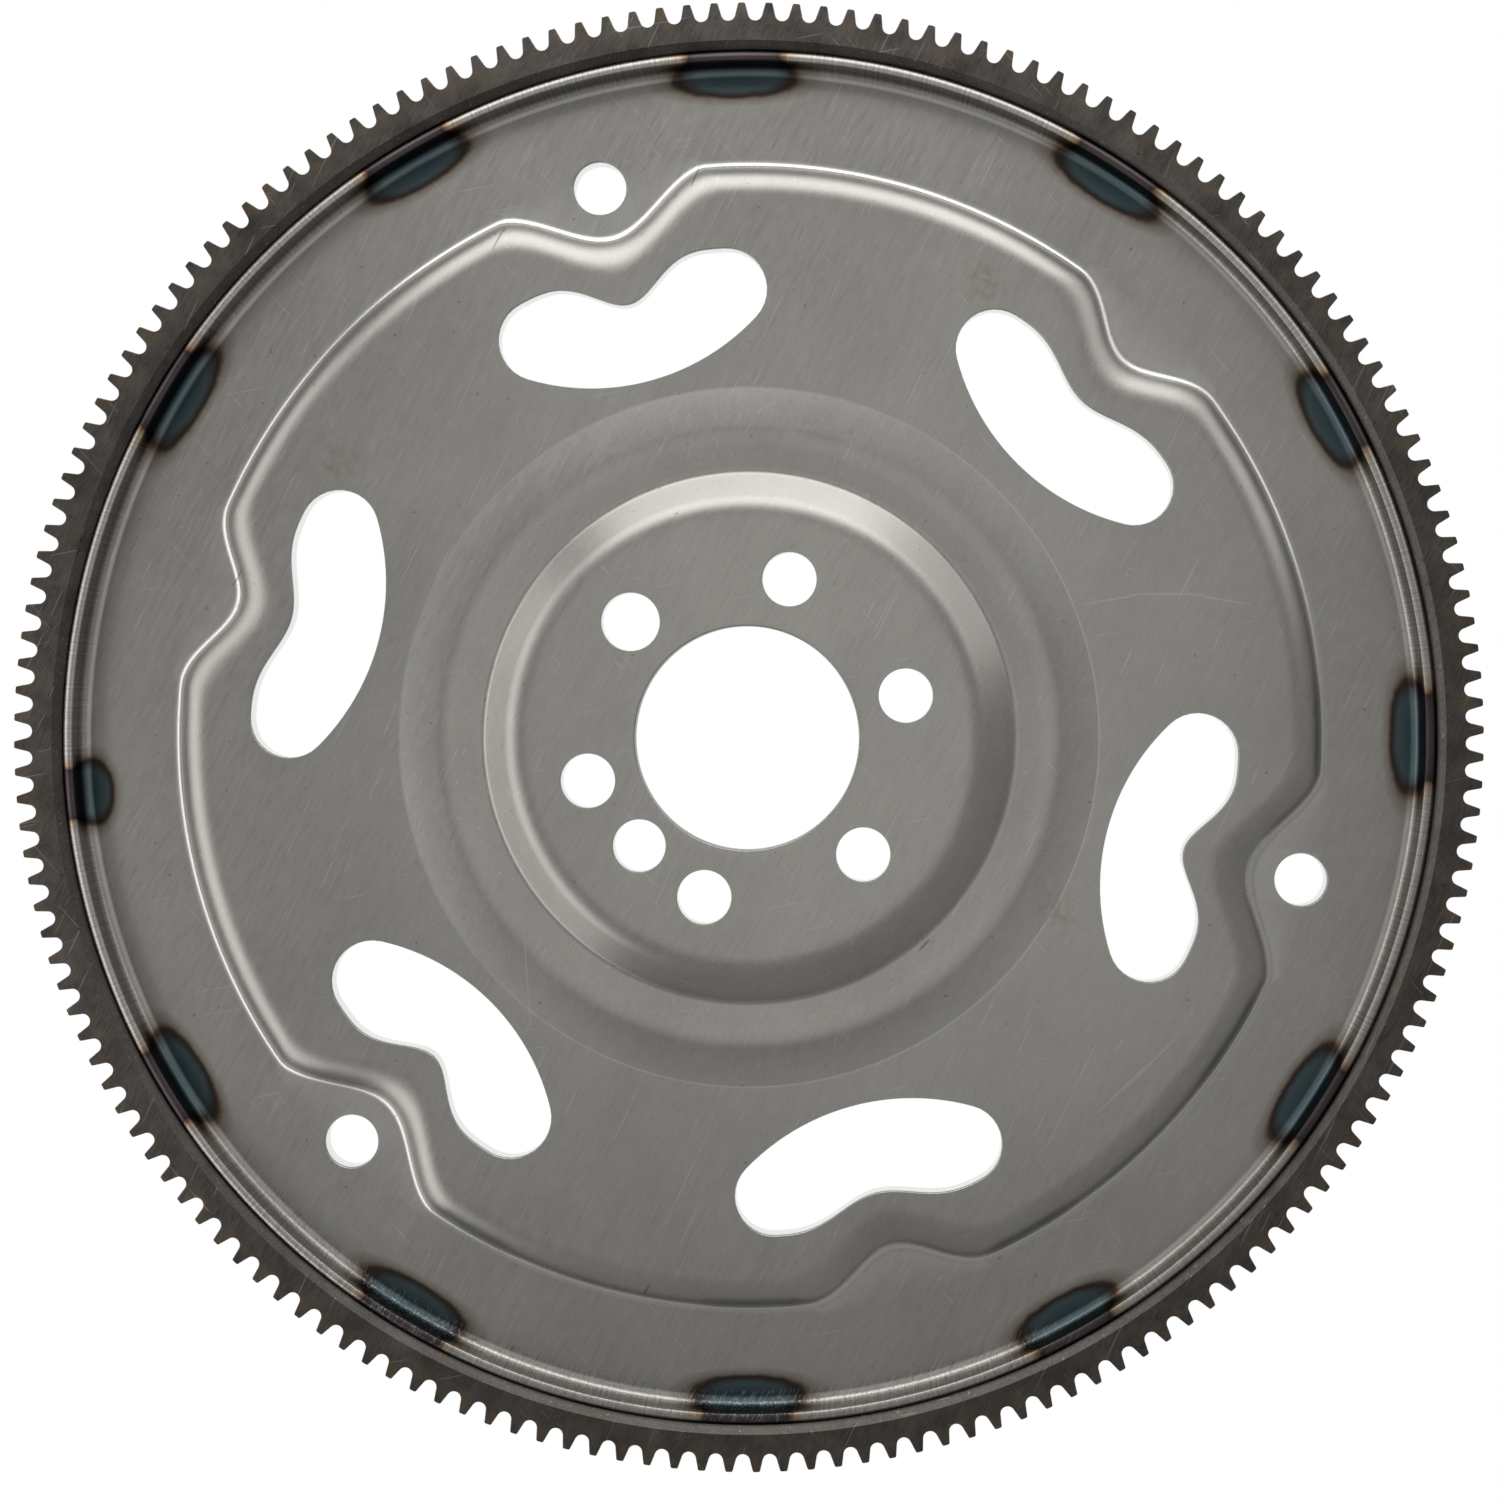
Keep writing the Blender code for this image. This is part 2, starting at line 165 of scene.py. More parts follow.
# Places that follow from the sizes
TIP_RADIUS = TOOTH_MODULE * TOOTH_COUNT / 2 + TOOTH_ADDENDUM
ROOT_RADIUS = TIP_RADIUS - TOOTH_DEPTH
RING_BORE = ROOT_RADIUS - RING_RIM
RIM_OUTER = RING_BORE - FIT_CLEARANCE
RIM_INNER = RIM_OUTER - SHEET
FLOOR_OUTER = RIM_INNER - CORNER_RADIUS
FLOOR_Z = RING_WIDTH - FLOOR_DROP
LIP_Z = RING_WIDTH - LIP_DROP
STEP_RADIUS = FLOOR_OUTER - FLOOR_WIDTH
STEP_RUN = (STEP_ROLL + STEP_FOOT) * math.sin(math.radians(STEP_SLOPE))
STEP_HEIGHT = (STEP_ROLL + STEP_FOOT) * (1 - math.cos(math.radians(STEP_SLOPE)))
STEP_TOP_RADIUS = STEP_RADIUS - STEP_RUN
PLATEAU_Z = FLOOR_Z + STEP_HEIGHT
CREST_Z = PLATEAU_Z + BEAD_FALL
VALLEY_Z = CREST_Z - BEAD_RISE
PAD_ROLL_RUN = PAD_ROLL * math.sin(math.radians(PAD_SLOPE))
PAD_ROLL_DROP = PAD_ROLL * (1 - math.cos(math.radians(PAD_SLOPE)))
PAD_Z = VALLEY_Z + PAD_ROLL_DROP + PAD_SLOPE_RUN * math.tan(math.radians(PAD_SLOPE))
VALLEY_RADIUS = PAD_RADIUS + PAD_ROLL_RUN + PAD_SLOPE_RUN
BEAD_INNER = VALLEY_RADIUS + VALLEY_RUN
BEAD_OUTER = BEAD_INNER + BEAD_FRONT_RUN + BEAD_BACK_RUN
BEAD_EDGE = BEAD_OUTER + BEAD_SKIRT_RUN
CRANK_CIRCLE = BORE_RADIUS + CRANK_WALL + CRANK_HOLE
EXTRA_CIRCLE = BORE_RADIUS + EXTRA_WALL + EXTRA_HOLE
SECTOR = 360.0 / DIP_COUNT

# The photograph's frame, in pixels, and where the camera stood
FRAME_PIXELS = 1500
FRAME_SCALE = 4094.0
AXIS_COLUMN = 748.9
AXIS_ROW = 737.3
CAMERA_X = 0.028
CAMERA_Y = 0.012
CAMERA_HEIGHT = 0.280
SENSOR_WIDTH = 36.0

# Heat marks of the welds, as half angles, and how far each reaches over the floor
HEAT_HALVES = (5.7, 5.3, 5.9, 6.1, 5.7, 5.8, 3.2, 5.2, 5.7, 5.5, 5.4, 5.6)
HEAT_REACH = 0.0056

# Scuffed stretch of the rim
SCUFF_ANGLE = 258.0
SCUFF_HALF = 44.0
SCUFF_FADE = 12.0

# Polish of the rim's lip, how far down its wall that fades, and polish of the bead's edge
LIP_POLISH = 0.1
LIP_POLISH_FADE = 0.0025
BEAD_POLISH = 0.4

# Light scratches, dark nicks and brown smudges: columns and rows of their ends or middles in the frame
SCRATCHES = ((1078, 605, 1150, 593), (1124, 594, 1208, 594), (1184, 593, 1254, 605),
             (527, 935, 530, 1030), (272, 690, 265, 735), (1090, 1120, 1150, 1062),
             (1118, 1096, 1182, 1032))
NICKS = ((492, 250, 503, 222), (690, 186, 698, 156), (222, 585, 238, 566), (640, 1303, 650, 1284),
         (918, 951, 930, 939))
SMUDGES = ((340, 465), (985, 280), (1060, 910))
SMUDGE_RADIUS = 0.007
SCRATCH_WIDTH = 0.00032
NICK_WIDTH = 0.00045

# Floor: half of its side, and how far it lies under the ring gear's back
FLOOR_HALF = 3.0
FLOOR_GAP = 0.0001

# Lights: name, the setting with its power, size, azimuth, angle from the vertical and distance
LIGHTS = (("Key light", "key_power", (1.5, 0.62), 96.0, 63.5, 1.1),
          ("Left light", "left_power", (2.0, 0.5), 188.0, 66.0, 1.1),
          ("Right light", "right_power", (0.8, 0.5), 38.0, 65.0, 1.1),
          ("Ceiling light", "ceiling_power", (1.1, 1.1), 90.0, 0.0, 1.2))


class FlexplateSizes(bpy.types.PropertyGroup):
    """Sizes of the finer shapes that the CAD model leaves out"""
    lip_outer: FloatProperty(
        name="Outer lip", description="Radius worn on the outer edge of the rim's lip",
        default=0.0018, min=0.0, subtype="DISTANCE", unit="LENGTH", precision=5)
    lip_inner: FloatProperty(
        name="Inner lip", description="Radius on the inner edge of the rim's lip",
        default=0.0005, min=0.0, subtype="DISTANCE", unit="LENGTH", precision=5)
    bore_round: FloatProperty(
        name="Bore rounding", description="Radius on the edges of the centre bore",
        default=0.0004, min=0.0, subtype="DISTANCE", unit="LENGTH", precision=5)
    rollover: FloatProperty(
        name="Punched edge", description="Height of the rounded edge that a punch leaves at slots and holes",
        default=0.0004, min=0.0, subtype="DISTANCE", unit="LENGTH", precision=5)
    tooth_corner: FloatProperty(
        name="Tooth corner", description="Radius on the corners of each tooth's tip",
        default=0.0003, min=0.0, subtype="DISTANCE", unit="LENGTH", precision=5)
    tooth_edge: FloatProperty(
        name="Tooth edge", description="Width of the broken edge round the faces of the teeth",
        default=0.00018, min=0.0, subtype="DISTANCE", unit="LENGTH", precision=5)
    ripple: FloatProperty(
        name="Weld ripple", description="Height of the ripples on a weld run",
        default=0.00025, min=0.0, subtype="DISTANCE", unit="LENGTH", precision=5)
    ripple_count: IntProperty(
        name="Weld ripples", description="Ripples along a full weld run", default=18, min=1)


class FlexplateFinish(bpy.types.PropertyGroup):
    """Colours and strengths of the finishes"""
    sheet_colour: FloatVectorProperty(
        name="Sheet steel", description="Bare rolled steel of the disc",
        default=(0.300, 0.292, 0.270), subtype="COLOR", min=0.0, max=1.0)
    ring_colour: FloatVectorProperty(
        name="Ring steel", description="Dark steel of the ring gear",
        default=(0.072, 0.066, 0.060), subtype="COLOR", min=0.0, max=1.0)
    tint_colour: FloatVectorProperty(
        name="Brown tint", description="Brown oxide on the teeth and round the heat marks",
        default=(0.130, 0.095, 0.060), subtype="COLOR", min=0.0, max=1.0)
    sheared_colour: FloatVectorProperty(
        name="Sheared steel", description="Bright walls that a punch leaves in holes and slots",
        default=(0.86, 0.86, 0.85), subtype="COLOR", min=0.0, max=1.0)
    weld_colour: FloatVectorProperty(
        name="Weld metal", description="Dark oxide on the weld runs",
        default=(0.120, 0.125, 0.135), subtype="COLOR", min=0.0, max=1.0)
    grain_angle: FloatProperty(
        name="Grain angle", description="Direction of the rolled grain of the sheet",
        default=math.radians(62.0), subtype="ANGLE", unit="ROTATION")
    grain_strength: FloatProperty(
        name="Grain", description="How strongly the rolled grain shows", default=0.7, min=0.0, max=1.0)


class FlexplateStage(bpy.types.PropertyGroup):
    """Camera and lights"""
    camera_height: FloatProperty(
        name="Camera height", description="Height of the camera over the ring gear's front face",
        default=CAMERA_HEIGHT, subtype="DISTANCE", unit="LENGTH")
    camera_place: FloatVectorProperty(
        name="Camera place", description="Where the camera stands over the plate, as X and Y",
        default=(CAMERA_X, CAMERA_Y), size=2, subtype="XYZ", unit="LENGTH")
    scale: FloatProperty(
        name="Scale", description="Pixels of the frame to a metre at the ring gear's front face",
        default=FRAME_SCALE, min=1.0)
    centre: FloatVectorProperty(
        name="Centre", description="Where the axis stands in the frame, in pixels from its top left",
        default=(AXIS_COLUMN, AXIS_ROW), size=2)
    world_colour: FloatVectorProperty(
        name="Surroundings", description="Grey of the studio round the plate",
        default=(0.41, 0.41, 0.41), subtype="COLOR", min=0.0, max=1.0)
    key_power: FloatProperty(
        name="Key light", description="Power of the large light at the top", default=9.0, min=0.0,
        unit="POWER")
    left_power: FloatProperty(
        name="Left light", description="Power of the long light at the left", default=6.0, min=0.0,
        unit="POWER")
    right_power: FloatProperty(
        name="Right light", description="Power of the weak light at the upper right", default=1.6, min=0.0,
        unit="POWER")
    ceiling_power: FloatProperty(
        name="Ceiling light", description="Power of the faint light straight above", default=1.75, min=0.0,
        unit="POWER")


# Geometry helpers

def polar(radius, degrees, z=0.0):
    angle = math.radians(degrees)
    return Vector((radius * math.cos(angle), radius * math.sin(angle), z))


def degrees_of(place):
    return math.degrees(math.atan2(place.y, place.x))


def turn_from(middle, degrees):
    """The turn from one angle to another, from -180 to 180 degrees."""
    return (degrees - middle + 180.0) % 360.0 - 180.0


def seen_at(column, row, z):
    """The place on the plate, at a height, that the camera sees at a column and row of the frame."""
    nearer = (CAMERA_HEIGHT + RING_WIDTH - z) / CAMERA_HEIGHT
    across = (column - AXIS_COLUMN) / FRAME_SCALE - CAMERA_X
    up = (AXIS_ROW - row) / FRAME_SCALE - CAMERA_Y
    return (CAMERA_X + across * nearer, CAMERA_Y + up * nearer)


def rounded_line(corners):
    """Points along a line of (radius, z, fillet) corners, with an arc at each corner that has a fillet."""
    points = [Vector(corners[0][:2])]
    for before, corner, after in zip(corners, corners[1:], corners[2:]):
        place = Vector(corner[:2])
        arriving = (place - Vector(before[:2])).normalized()
        leaving = (Vector(after[:2]) - place).normalized()
        turn = arriving.angle_signed(leaving)
        if corner[2] == 0.0 or abs(turn) < math.radians(1.0):
            points.append(place)
            continue
        reach = corner[2] * math.tan(abs(turn) / 2)
        start = place - arriving * reach
        side = Vector((arriving.y, -arriving.x)) * math.copysign(corner[2], turn)
        steps = max(2, math.ceil(math.degrees(abs(turn)) / TURN_STEP))
        for step in range(steps + 1):
            turned = -turn * step / steps
            arm = Vector((math.cos(turned) * -side.x - math.sin(turned) * -side.y,
                          math.sin(turned) * -side.x + math.cos(turned) * -side.y))
            points.append(start + side + arm)
    points.append(Vector(corners[-1][:2]))
    return points


def spin_line(builder, points, columns, start_angle):
    """Turn a line of (radius, z) points once round the axis."""
    verts = [builder.verts.new(polar(point[0], start_angle, point[1])) for point in points]
    edges = [builder.edges.new(pair) for pair in zip(verts, verts[1:])]
    bmesh.ops.spin(builder, geom=verts + edges, cent=(0.0, 0.0, 0.0), axis=(0.0, 0.0, 1.0),
                   angle=math.tau, steps=columns, use_merge=True, use_duplicate=False)


def stack_loops(builder, loops):
    """Join a stack of closed loops of points, all of one length, into a solid with flat ends."""
    rings = []
    for loop in loops:
        verts = [builder.verts.new(point) for point in loop]
        rings.append([builder.edges.new(pair) for pair in zip(verts, verts[1:] + verts[:1])])
    for lower, upper in zip(rings, rings[1:]):
        bmesh.ops.bridge_loops(builder, edges=lower + upper)
    for ring in (rings[0], rings[-1]):
        bmesh.ops.edgeloop_fill(builder, edges=ring)


def circle_edges(builder, radius, lowest=-1.0):
    """Edges whose two ends lie on a circle round the axis, above a height."""
    return [edge for edge in builder.edges
            if all(abs(vert.co.xy.length - radius) < NEAR and vert.co.z > lowest for vert in edge.verts)]


def finish_piece(name, builder, material=None):
    """Make an object from a bmesh, with its normals outwards and its folds sharp."""
    mesh = bpy.data.meshes.new(name)
    builder.to_mesh(mesh)
    builder.free()
    mesh.shade_smooth()
    mesh.set_sharp_from_angle(angle=math.radians(SMOOTH_ANGLE))
    if material:
        mesh.materials.append(material)
    piece = bpy.data.objects.new(name, mesh)
    bpy.context.scene.collection.objects.link(piece)
    return piece


def apply_modifiers(piece):
    """Give the piece the mesh that its modifiers make, and take the modifiers off."""
    bpy.context.view_layer.update()
    shaped = piece.evaluated_get(bpy.context.evaluated_depsgraph_get())
    mesh = bpy.data.meshes.new_from_object(shaped)
    piece.modifiers.clear()
    old = piece.data
    piece.data = mesh
    bpy.data.meshes.remove(old)
    mesh.name = piece.name
    mesh.shade_smooth()
    mesh.set_sharp_from_angle(angle=math.radians(SMOOTH_ANGLE))


def cut_away(piece, cutters):
    """Cut each cutter out of the piece and remove the cutters."""
    for cutter in cutters:
        boolean = piece.modifiers.new("Cut " + cutter.name, "BOOLEAN")
        boolean.operation = "DIFFERENCE"
        boolean.solver = "EXACT"
        boolean.material_mode = "TRANSFER"
        boolean.object = cutter
    apply_modifiers(piece)
    for cutter in cutters:
        spent = cutter.data
        bpy.data.objects.remove(cutter)
        bpy.data.meshes.remove(spent)


def hand_over(piece, node):
    """Let a finished piece stand for its CAD node."""
    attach(piece, "root")
    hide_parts(node)


# Disc

def hub_line():
    """Upper surface from the bore to the plateau outside the bead."""
    slope_in = (CREST_Z - BEAD_ROUND - VALLEY_Z) / (BEAD_INNER - VALLEY_RADIUS)
    slope_out = (CREST_Z - BEAD_ROUND - PLATEAU_Z) / (BEAD_EDGE - BEAD_OUTER)
    peak = (PLATEAU_Z + slope_out * BEAD_EDGE - VALLEY_Z + slope_in * VALLEY_RADIUS) / (slope_in + slope_out)
    pad_corner = PAD_RADIUS + PAD_ROLL * math.tan(math.radians(PAD_SLOPE / 2))
    return rounded_line([
        (BORE_RADIUS, PAD_Z, 0.0),
        (BORE_RADIUS + 3 * SUPPORT, PAD_Z, 0.0),
        (PAD_RADIUS - SUPPORT, PAD_Z, 0.0),
        (pad_corner, PAD_Z, PAD_ROLL),
        (VALLEY_RADIUS, VALLEY_Z, VALLEY_FILLET),
        (peak, VALLEY_Z + slope_in * (peak - VALLEY_RADIUS), BEAD_ROLL),
        (BEAD_EDGE, PLATEAU_Z, BEAD_EDGE_FILLET),
        (BEAD_EDGE + SUPPORT, PLATEAU_Z, 0.0),
        (BEAD_EDGE + 2 * SUPPORT, PLATEAU_Z, 0.0),
    ])


def rim_line():
    """Upper surface from the plateau's edge down the step, over the floor and up to the rim's lip."""
    corners = [(STEP_TOP_RADIUS - SUPPORT, PLATEAU_Z, 0.0)]
    for step in range(STEP_STEPS + 1):
        bend = math.radians(STEP_SLOPE * step / STEP_STEPS)
        corners.append((STEP_TOP_RADIUS + STEP_ROLL * math.sin(bend),
                        PLATEAU_Z - STEP_ROLL * (1 - math.cos(bend)), 0.0))
    for step in range(FOOT_STEPS - 1, -1, -1):
        bend = math.radians(STEP_SLOPE * step / FOOT_STEPS)
        corners.append((STEP_RADIUS - STEP_FOOT * math.sin(bend),
                        FLOOR_Z + STEP_FOOT * (1 - math.cos(bend)), 0.0))
    corners.append((STEP_RADIUS + SUPPORT, FLOOR_Z, 0.0))
    first = STEP_RADIUS + 3 * SUPPORT
    for step in range(FLOOR_STEPS):
        share = 1 - (1 - step / FLOOR_STEPS) ** 2
        corners.append((first + (FLOOR_OUTER - SUPPORT - first) * share, FLOOR_Z, 0.0))
    corners.append((RIM_INNER, FLOOR_Z, CORNER_RADIUS))
    corners.append((RIM_INNER, FLOOR_Z + CORNER_RADIUS + SUPPORT / 2, 0.0))
    corners.append((RIM_INNER, LIP_Z, 0.0))
    return rounded_line(corners)


def dip_share(offset, half, power):
    """How deep the dip is at an offset from its middle: 1 there, and 0 from its half angle on."""
    return max(0.0, math.cos(math.pi / 2 * min(1.0, abs(offset) / half))) ** power


def press_star(builder):
    """Crowd the step's columns towards each dip, and press the dips inwards."""
    for vert in builder.verts:
        radius = vert.co.xy.length
        if radius < STEP_TOP_RADIUS - 1.5 * SUPPORT:
            continue
        degrees = degrees_of(vert.co)
        turns = (degrees - STAR_ANGLE) / SECTOR
        index = round(turns)
        offset = (turns - index) * SECTOR
        crowded = offset - DIP_CROWDING * SECTOR / math.tau * math.sin(math.tau * offset / SECTOR)
        if radius < STEP_RADIUS + 1.5 * SUPPORT:
            half = PLAIN_DIP_HALF if index % 2 else HOLE_DIP_HALF
            depth = PLAIN_DIP_DEPTH if index % 2 else HOLE_DIP_DEPTH
            power = PLAIN_DIP_POWER if index % 2 else HOLE_DIP_POWER
            inward = min(1.0, max(0.0, (STEP_RADIUS - radius) / STEP_RUN))
            share = dip_share(crowded, half + DIP_SPREAD * inward, power + (2.0 - power) * inward)
            radius -= (depth + DIP_DEEPENING * inward) * share
        vert.co = polar(radius, degrees - offset + crowded, vert.co.z)


def punch_levels(surface, rollover):
    """Heights of a punch and how far it is grown there: straight, then flared over the sheet's edge."""
    below = surface - SHEET - CUT_MARGIN
    return ((below, 0.0), (surface - rollover, 0.0), (surface - 0.35 * rollover, 0.22 * rollover),
            (surface + rollover, 1.6 * rollover))


def slot_outline(middle, sizes, grown, z):
    """A kidney slot about an angle: an arc towards the hub, round ends, and a dip in its outer edge."""
    gap, width, notch, sharpness, cap_share, cap_angle = sizes
    inner = BEAD_EDGE + gap
    outer = inner + width
    cap = cap_share * width
    end = polar(outer - cap, cap_angle)
    mirrored_end = polar(outer - cap, -cap_angle)
    inner -= grown
    outer += grown
    cap += grown
    back_radius = (cap ** 2 - (inner - end.x) ** 2 - end.y ** 2) / (2 * (cap + inner - end.x))
    back = Vector((inner + back_radius, 0.0, 0.0))
    lean = math.degrees(math.atan2(end.y, end.x - back.x))
    outline = []
    for step in range(-NOTCH_STEPS, NOTCH_STEPS + 1):
        angle = cap_angle * step / NOTCH_STEPS
        outline.append(polar(outer - notch * dip_share(angle, cap_angle, sharpness), angle))
    for step in range(1, CAP_STEPS + 1):
        outline.append(end + polar(cap, cap_angle + (lean - cap_angle) * step / CAP_STEPS))
    for step in range(1, BACK_STEPS):
        outline.append(back + polar(back_radius, lean + 2 * (180.0 - lean) * step / BACK_STEPS))
    for step in range(CAP_STEPS):
        share = 1 - step / CAP_STEPS
        outline.append(mirrored_end + polar(cap, -cap_angle - (lean - cap_angle) * share))
    return [polar(point.length, degrees_of(point) + middle, z) for point in outline]


def make_slot_punch(rollover, material):
    builder = bmesh.new()
    for index in range(DIP_COUNT):
        sizes = PLAIN_SLOT if index % 2 else HOLE_SLOT
        middle = STAR_ANGLE + SECTOR * index
        stack_loops(builder, [slot_outline(middle, sizes, grown, z)
                              for z, grown in punch_levels(PLATEAU_Z, rollover)])
    bmesh.ops.recalc_face_normals(builder, faces=builder.faces)
    return finish_piece("slot_punch", builder, material)


def add_round_punch(builder, radius, centre, surface, rollover):
    stack_loops(builder, [[centre + polar(radius + grown, 360.0 * step / HOLE_COLUMNS, z)
                           for step in range(HOLE_COLUMNS)]
                          for z, grown in punch_levels(surface, rollover)])


def make_hole_punch(rollover, material):
    builder = bmesh.new()
    for index in range(CRANK_COUNT):
        radius = LOCATING_HOLE if index == LOCATING_INDEX else CRANK_HOLE
        place = polar(CRANK_CIRCLE, CRANK_ANGLE + 360.0 * index / CRANK_COUNT)
        add_round_punch(builder, radius, place, PAD_Z, rollover)
    add_round_punch(builder, EXTRA_HOLE, polar(EXTRA_CIRCLE, EXTRA_ANGLE), PAD_Z, rollover)
    for index in range(0, DIP_COUNT, 2):
        place = polar(CONVERTER_CIRCLE, STAR_ANGLE + SECTOR * index)
        add_round_punch(builder, CONVERTER_HOLE, place, FLOOR_Z, rollover)
    bmesh.ops.recalc_face_normals(builder, faces=builder.faces)
    return finish_piece("hole_punch", builder, material)


def round_edges(builder, edges, radius, segments):
    bmesh.ops.bevel(builder, geom=edges, offset=radius, offset_type="OFFSET", segments=segments,
                    profile=0.5, affect="EDGES", material=-1)


def mark_surface(piece):
    """Store at each point how far off a heat mark's middle it is, its polish and its scuffing."""
    mesh = piece.data
    for name, measure in (("heat_side", heat_side), ("polish", polish_at), ("scuff", scuff_at)):
        stored = mesh.attributes.new(name, "FLOAT", "POINT")
        stored.data.foreach_set("value", [measure(vert.co) for vert in mesh.vertices])


def heat_side(place):
    """Angle from the nearest heat mark's middle, as a share of that mark's half angle, up to 2."""
    degrees = degrees_of(place)
    return min([2.0] + [abs(turn_from(middle, degrees)) / half
                        for middle, half in zip(WELD_ANGLES, HEAT_HALVES)])


def polish_at(place):
    """Polish where the press rubs the sheet: the step's foot, and less at the rim's lip and the bead."""
    radius = place.xy.length
    if radius > FLOOR_OUTER:
        return LIP_POLISH * max(0.0, 1 - (LIP_Z - place.z) / LIP_POLISH_FADE)
    if abs(radius - BEAD_EDGE) < SUPPORT / 2 and place.z > FLOOR_Z:
        return BEAD_POLISH
    climb = (place.z - FLOOR_Z) / (STEP_FOOT * (1 - math.cos(math.radians(STEP_SLOPE))))
    if radius > STEP_RADIUS + SUPPORT or climb < -0.01:
        return 0.0
    return max(0.0, min(1.0, 4 * climb + 0.35) * min(1.0, 2.6 - 1.6 * climb))


def scuff_at(place):
    """Scuffing of the rim's corner and lip, which is heavy on one side of the plate only."""
    if place.xy.length < FLOOR_OUTER - 0.001:
        return 0.0
    offset = abs(turn_from(SCUFF_ANGLE, degrees_of(place)))
    return max(0.0, min(1.0, (SCUFF_HALF - offset) / SCUFF_FADE))


def make_disc_piece(sizes, material, sheared):
    builder = bmesh.new()
    hub = hub_line()
    rim = rim_line()
    spin_line(builder, hub, HUB_COLUMNS, STAR_ANGLE)
    spin_line(builder, rim, OUTER_COLUMNS, STAR_ANGLE)
    bmesh.ops.bridge_loops(builder, edges=circle_edges(builder, hub[-1].x) + circle_edges(builder, rim[0].x))
    press_star(builder)
    bmesh.ops.recalc_face_normals(builder, faces=builder.faces)
    pad = max(builder.faces, key=lambda face: face.calc_center_median().z)
    if pad.normal.z < 0:
        bmesh.ops.reverse_faces(builder, faces=builder.faces)
    disc = finish_piece("pressed_disc", builder, material)
    sheet = disc.modifiers.new("Sheet", "SOLIDIFY")
    sheet.thickness = SHEET
    sheet.offset = -1.0
    sheet.use_even_offset = True
    apply_modifiers(disc)
    builder = bmesh.new()
    builder.from_mesh(disc.data)
    round_edges(builder, circle_edges(builder, BORE_RADIUS), sizes.bore_round, 3)
    round_edges(builder, circle_edges(builder, RIM_INNER, LIP_Z - NEAR), sizes.lip_inner, 3)
    round_edges(builder, circle_edges(builder, RIM_OUTER, LIP_Z - NEAR), sizes.lip_outer, LIP_STEPS)
    builder.to_mesh(disc.data)
    builder.free()
    cut_away(disc, [make_slot_punch(sizes.rollover, sheared), make_hole_punch(sizes.rollover, sheared)])
    for face in disc.data.polygons:
        if face.material_index and abs(face.normal.z) > 0.2:
            face.material_index = 0
    mark_surface(disc)
    return disc


# Ring gear

def gullet_outline(middle):
    """Points of the round gullet at an angle: one arc that touches both flanks and the root."""
    half_pitch = math.pi / TOOTH_COUNT
    lean = half_pitch + math.radians(FLANK_ANGLE)
    corner_angle = half_pitch - TIP_LAND / 2 / TIP_RADIUS
    corner_out = TIP_RADIUS * math.cos(corner_angle) - ROOT_RADIUS
    corner_side = TIP_RADIUS * math.sin(corner_angle)
    radius = (corner_side * math.cos(lean) - corner_out * math.sin(lean)) / (1 - math.sin(lean))
    centre = polar(ROOT_RADIUS + radius, middle)
    first = middle + 270.0 - math.degrees(lean)
    sweep = 180.0 - 2 * math.degrees(lean)
    return [centre + polar(radius, first - sweep * step / GULLET_STEPS)
            for step in range(GULLET_STEPS + 1)]


def tip_corner(middle, side, corner):
    """Three points that round one corner of a tooth's tip, in the order that the outline runs."""
    half_land = TIP_LAND / 2
    flank = half_land + 0.95 * corner * math.tan(math.radians(FLANK_ANGLE))
    points = []
    for drop, half in ((0.95 * corner, flank), (0.25 * corner, half_land - 0.25 * corner),
                       (0.0, half_land - corner)):
        radius = TIP_RADIUS - drop
        points.append(polar(radius, middle + side * math.degrees(half / radius)))
    return points if side < 0 else points[::-1]


def make_toothed_blank(corner, edge):
    """The toothed ring as a solid plate, with its front and back edges broken."""
    pitch = 360.0 / TOOTH_COUNT
    outline = []
    for index in range(TOOTH_COUNT):
        middle = TOOTH_PHASE + index * pitch
        outline += tip_corner(middle, -1, corner) + tip_corner(middle, 1, corner)
        outline += gullet_outline(middle + pitch / 2)
    builder = bmesh.new()
    face = builder.faces.new([builder.verts.new(point) for point in outline])
    raised = bmesh.ops.extrude_face_region(builder, geom=[face])
    moved = [part for part in raised["geom"] if isinstance(part, bmesh.types.BMVert)]
    bmesh.ops.translate(builder, verts=moved, vec=(0.0, 0.0, RING_WIDTH))
    bmesh.ops.recalc_face_normals(builder, faces=builder.faces)
    ends = [face for face in builder.faces if len(face.verts) > 4]
    round_edges(builder, [side for end in ends for side in end.edges], edge, 2)
    return builder


def make_bore_punch():
    """The ring's bore as a turned plug, flaring into the chamfer at the front face."""
    flare = RING_BORE + RING_CHAMFER + CUT_MARGIN
    builder = bmesh.new()
    corners = [(0.0, -CUT_MARGIN, 0.0), (RING_BORE + RING_BACK_EDGE + CUT_MARGIN, -CUT_MARGIN, 0.0),
               (RING_BORE, RING_BACK_EDGE, 0.0),
               (RING_BORE, RING_WIDTH - RING_CHAMFER, RING_CHAMFER_FILLET),
               (flare, RING_WIDTH + CUT_MARGIN, 0.0), (0.0, RING_WIDTH + CUT_MARGIN, 0.0)]
    spin_line(builder, rounded_line(corners), 3 * TOOTH_COUNT, TOOTH_PHASE)
    bmesh.ops.remove_doubles(builder, verts=builder.verts, dist=MERGE)
    bmesh.ops.recalc_face_normals(builder, faces=builder.faces)
    return finish_piece("bore_punch", builder)


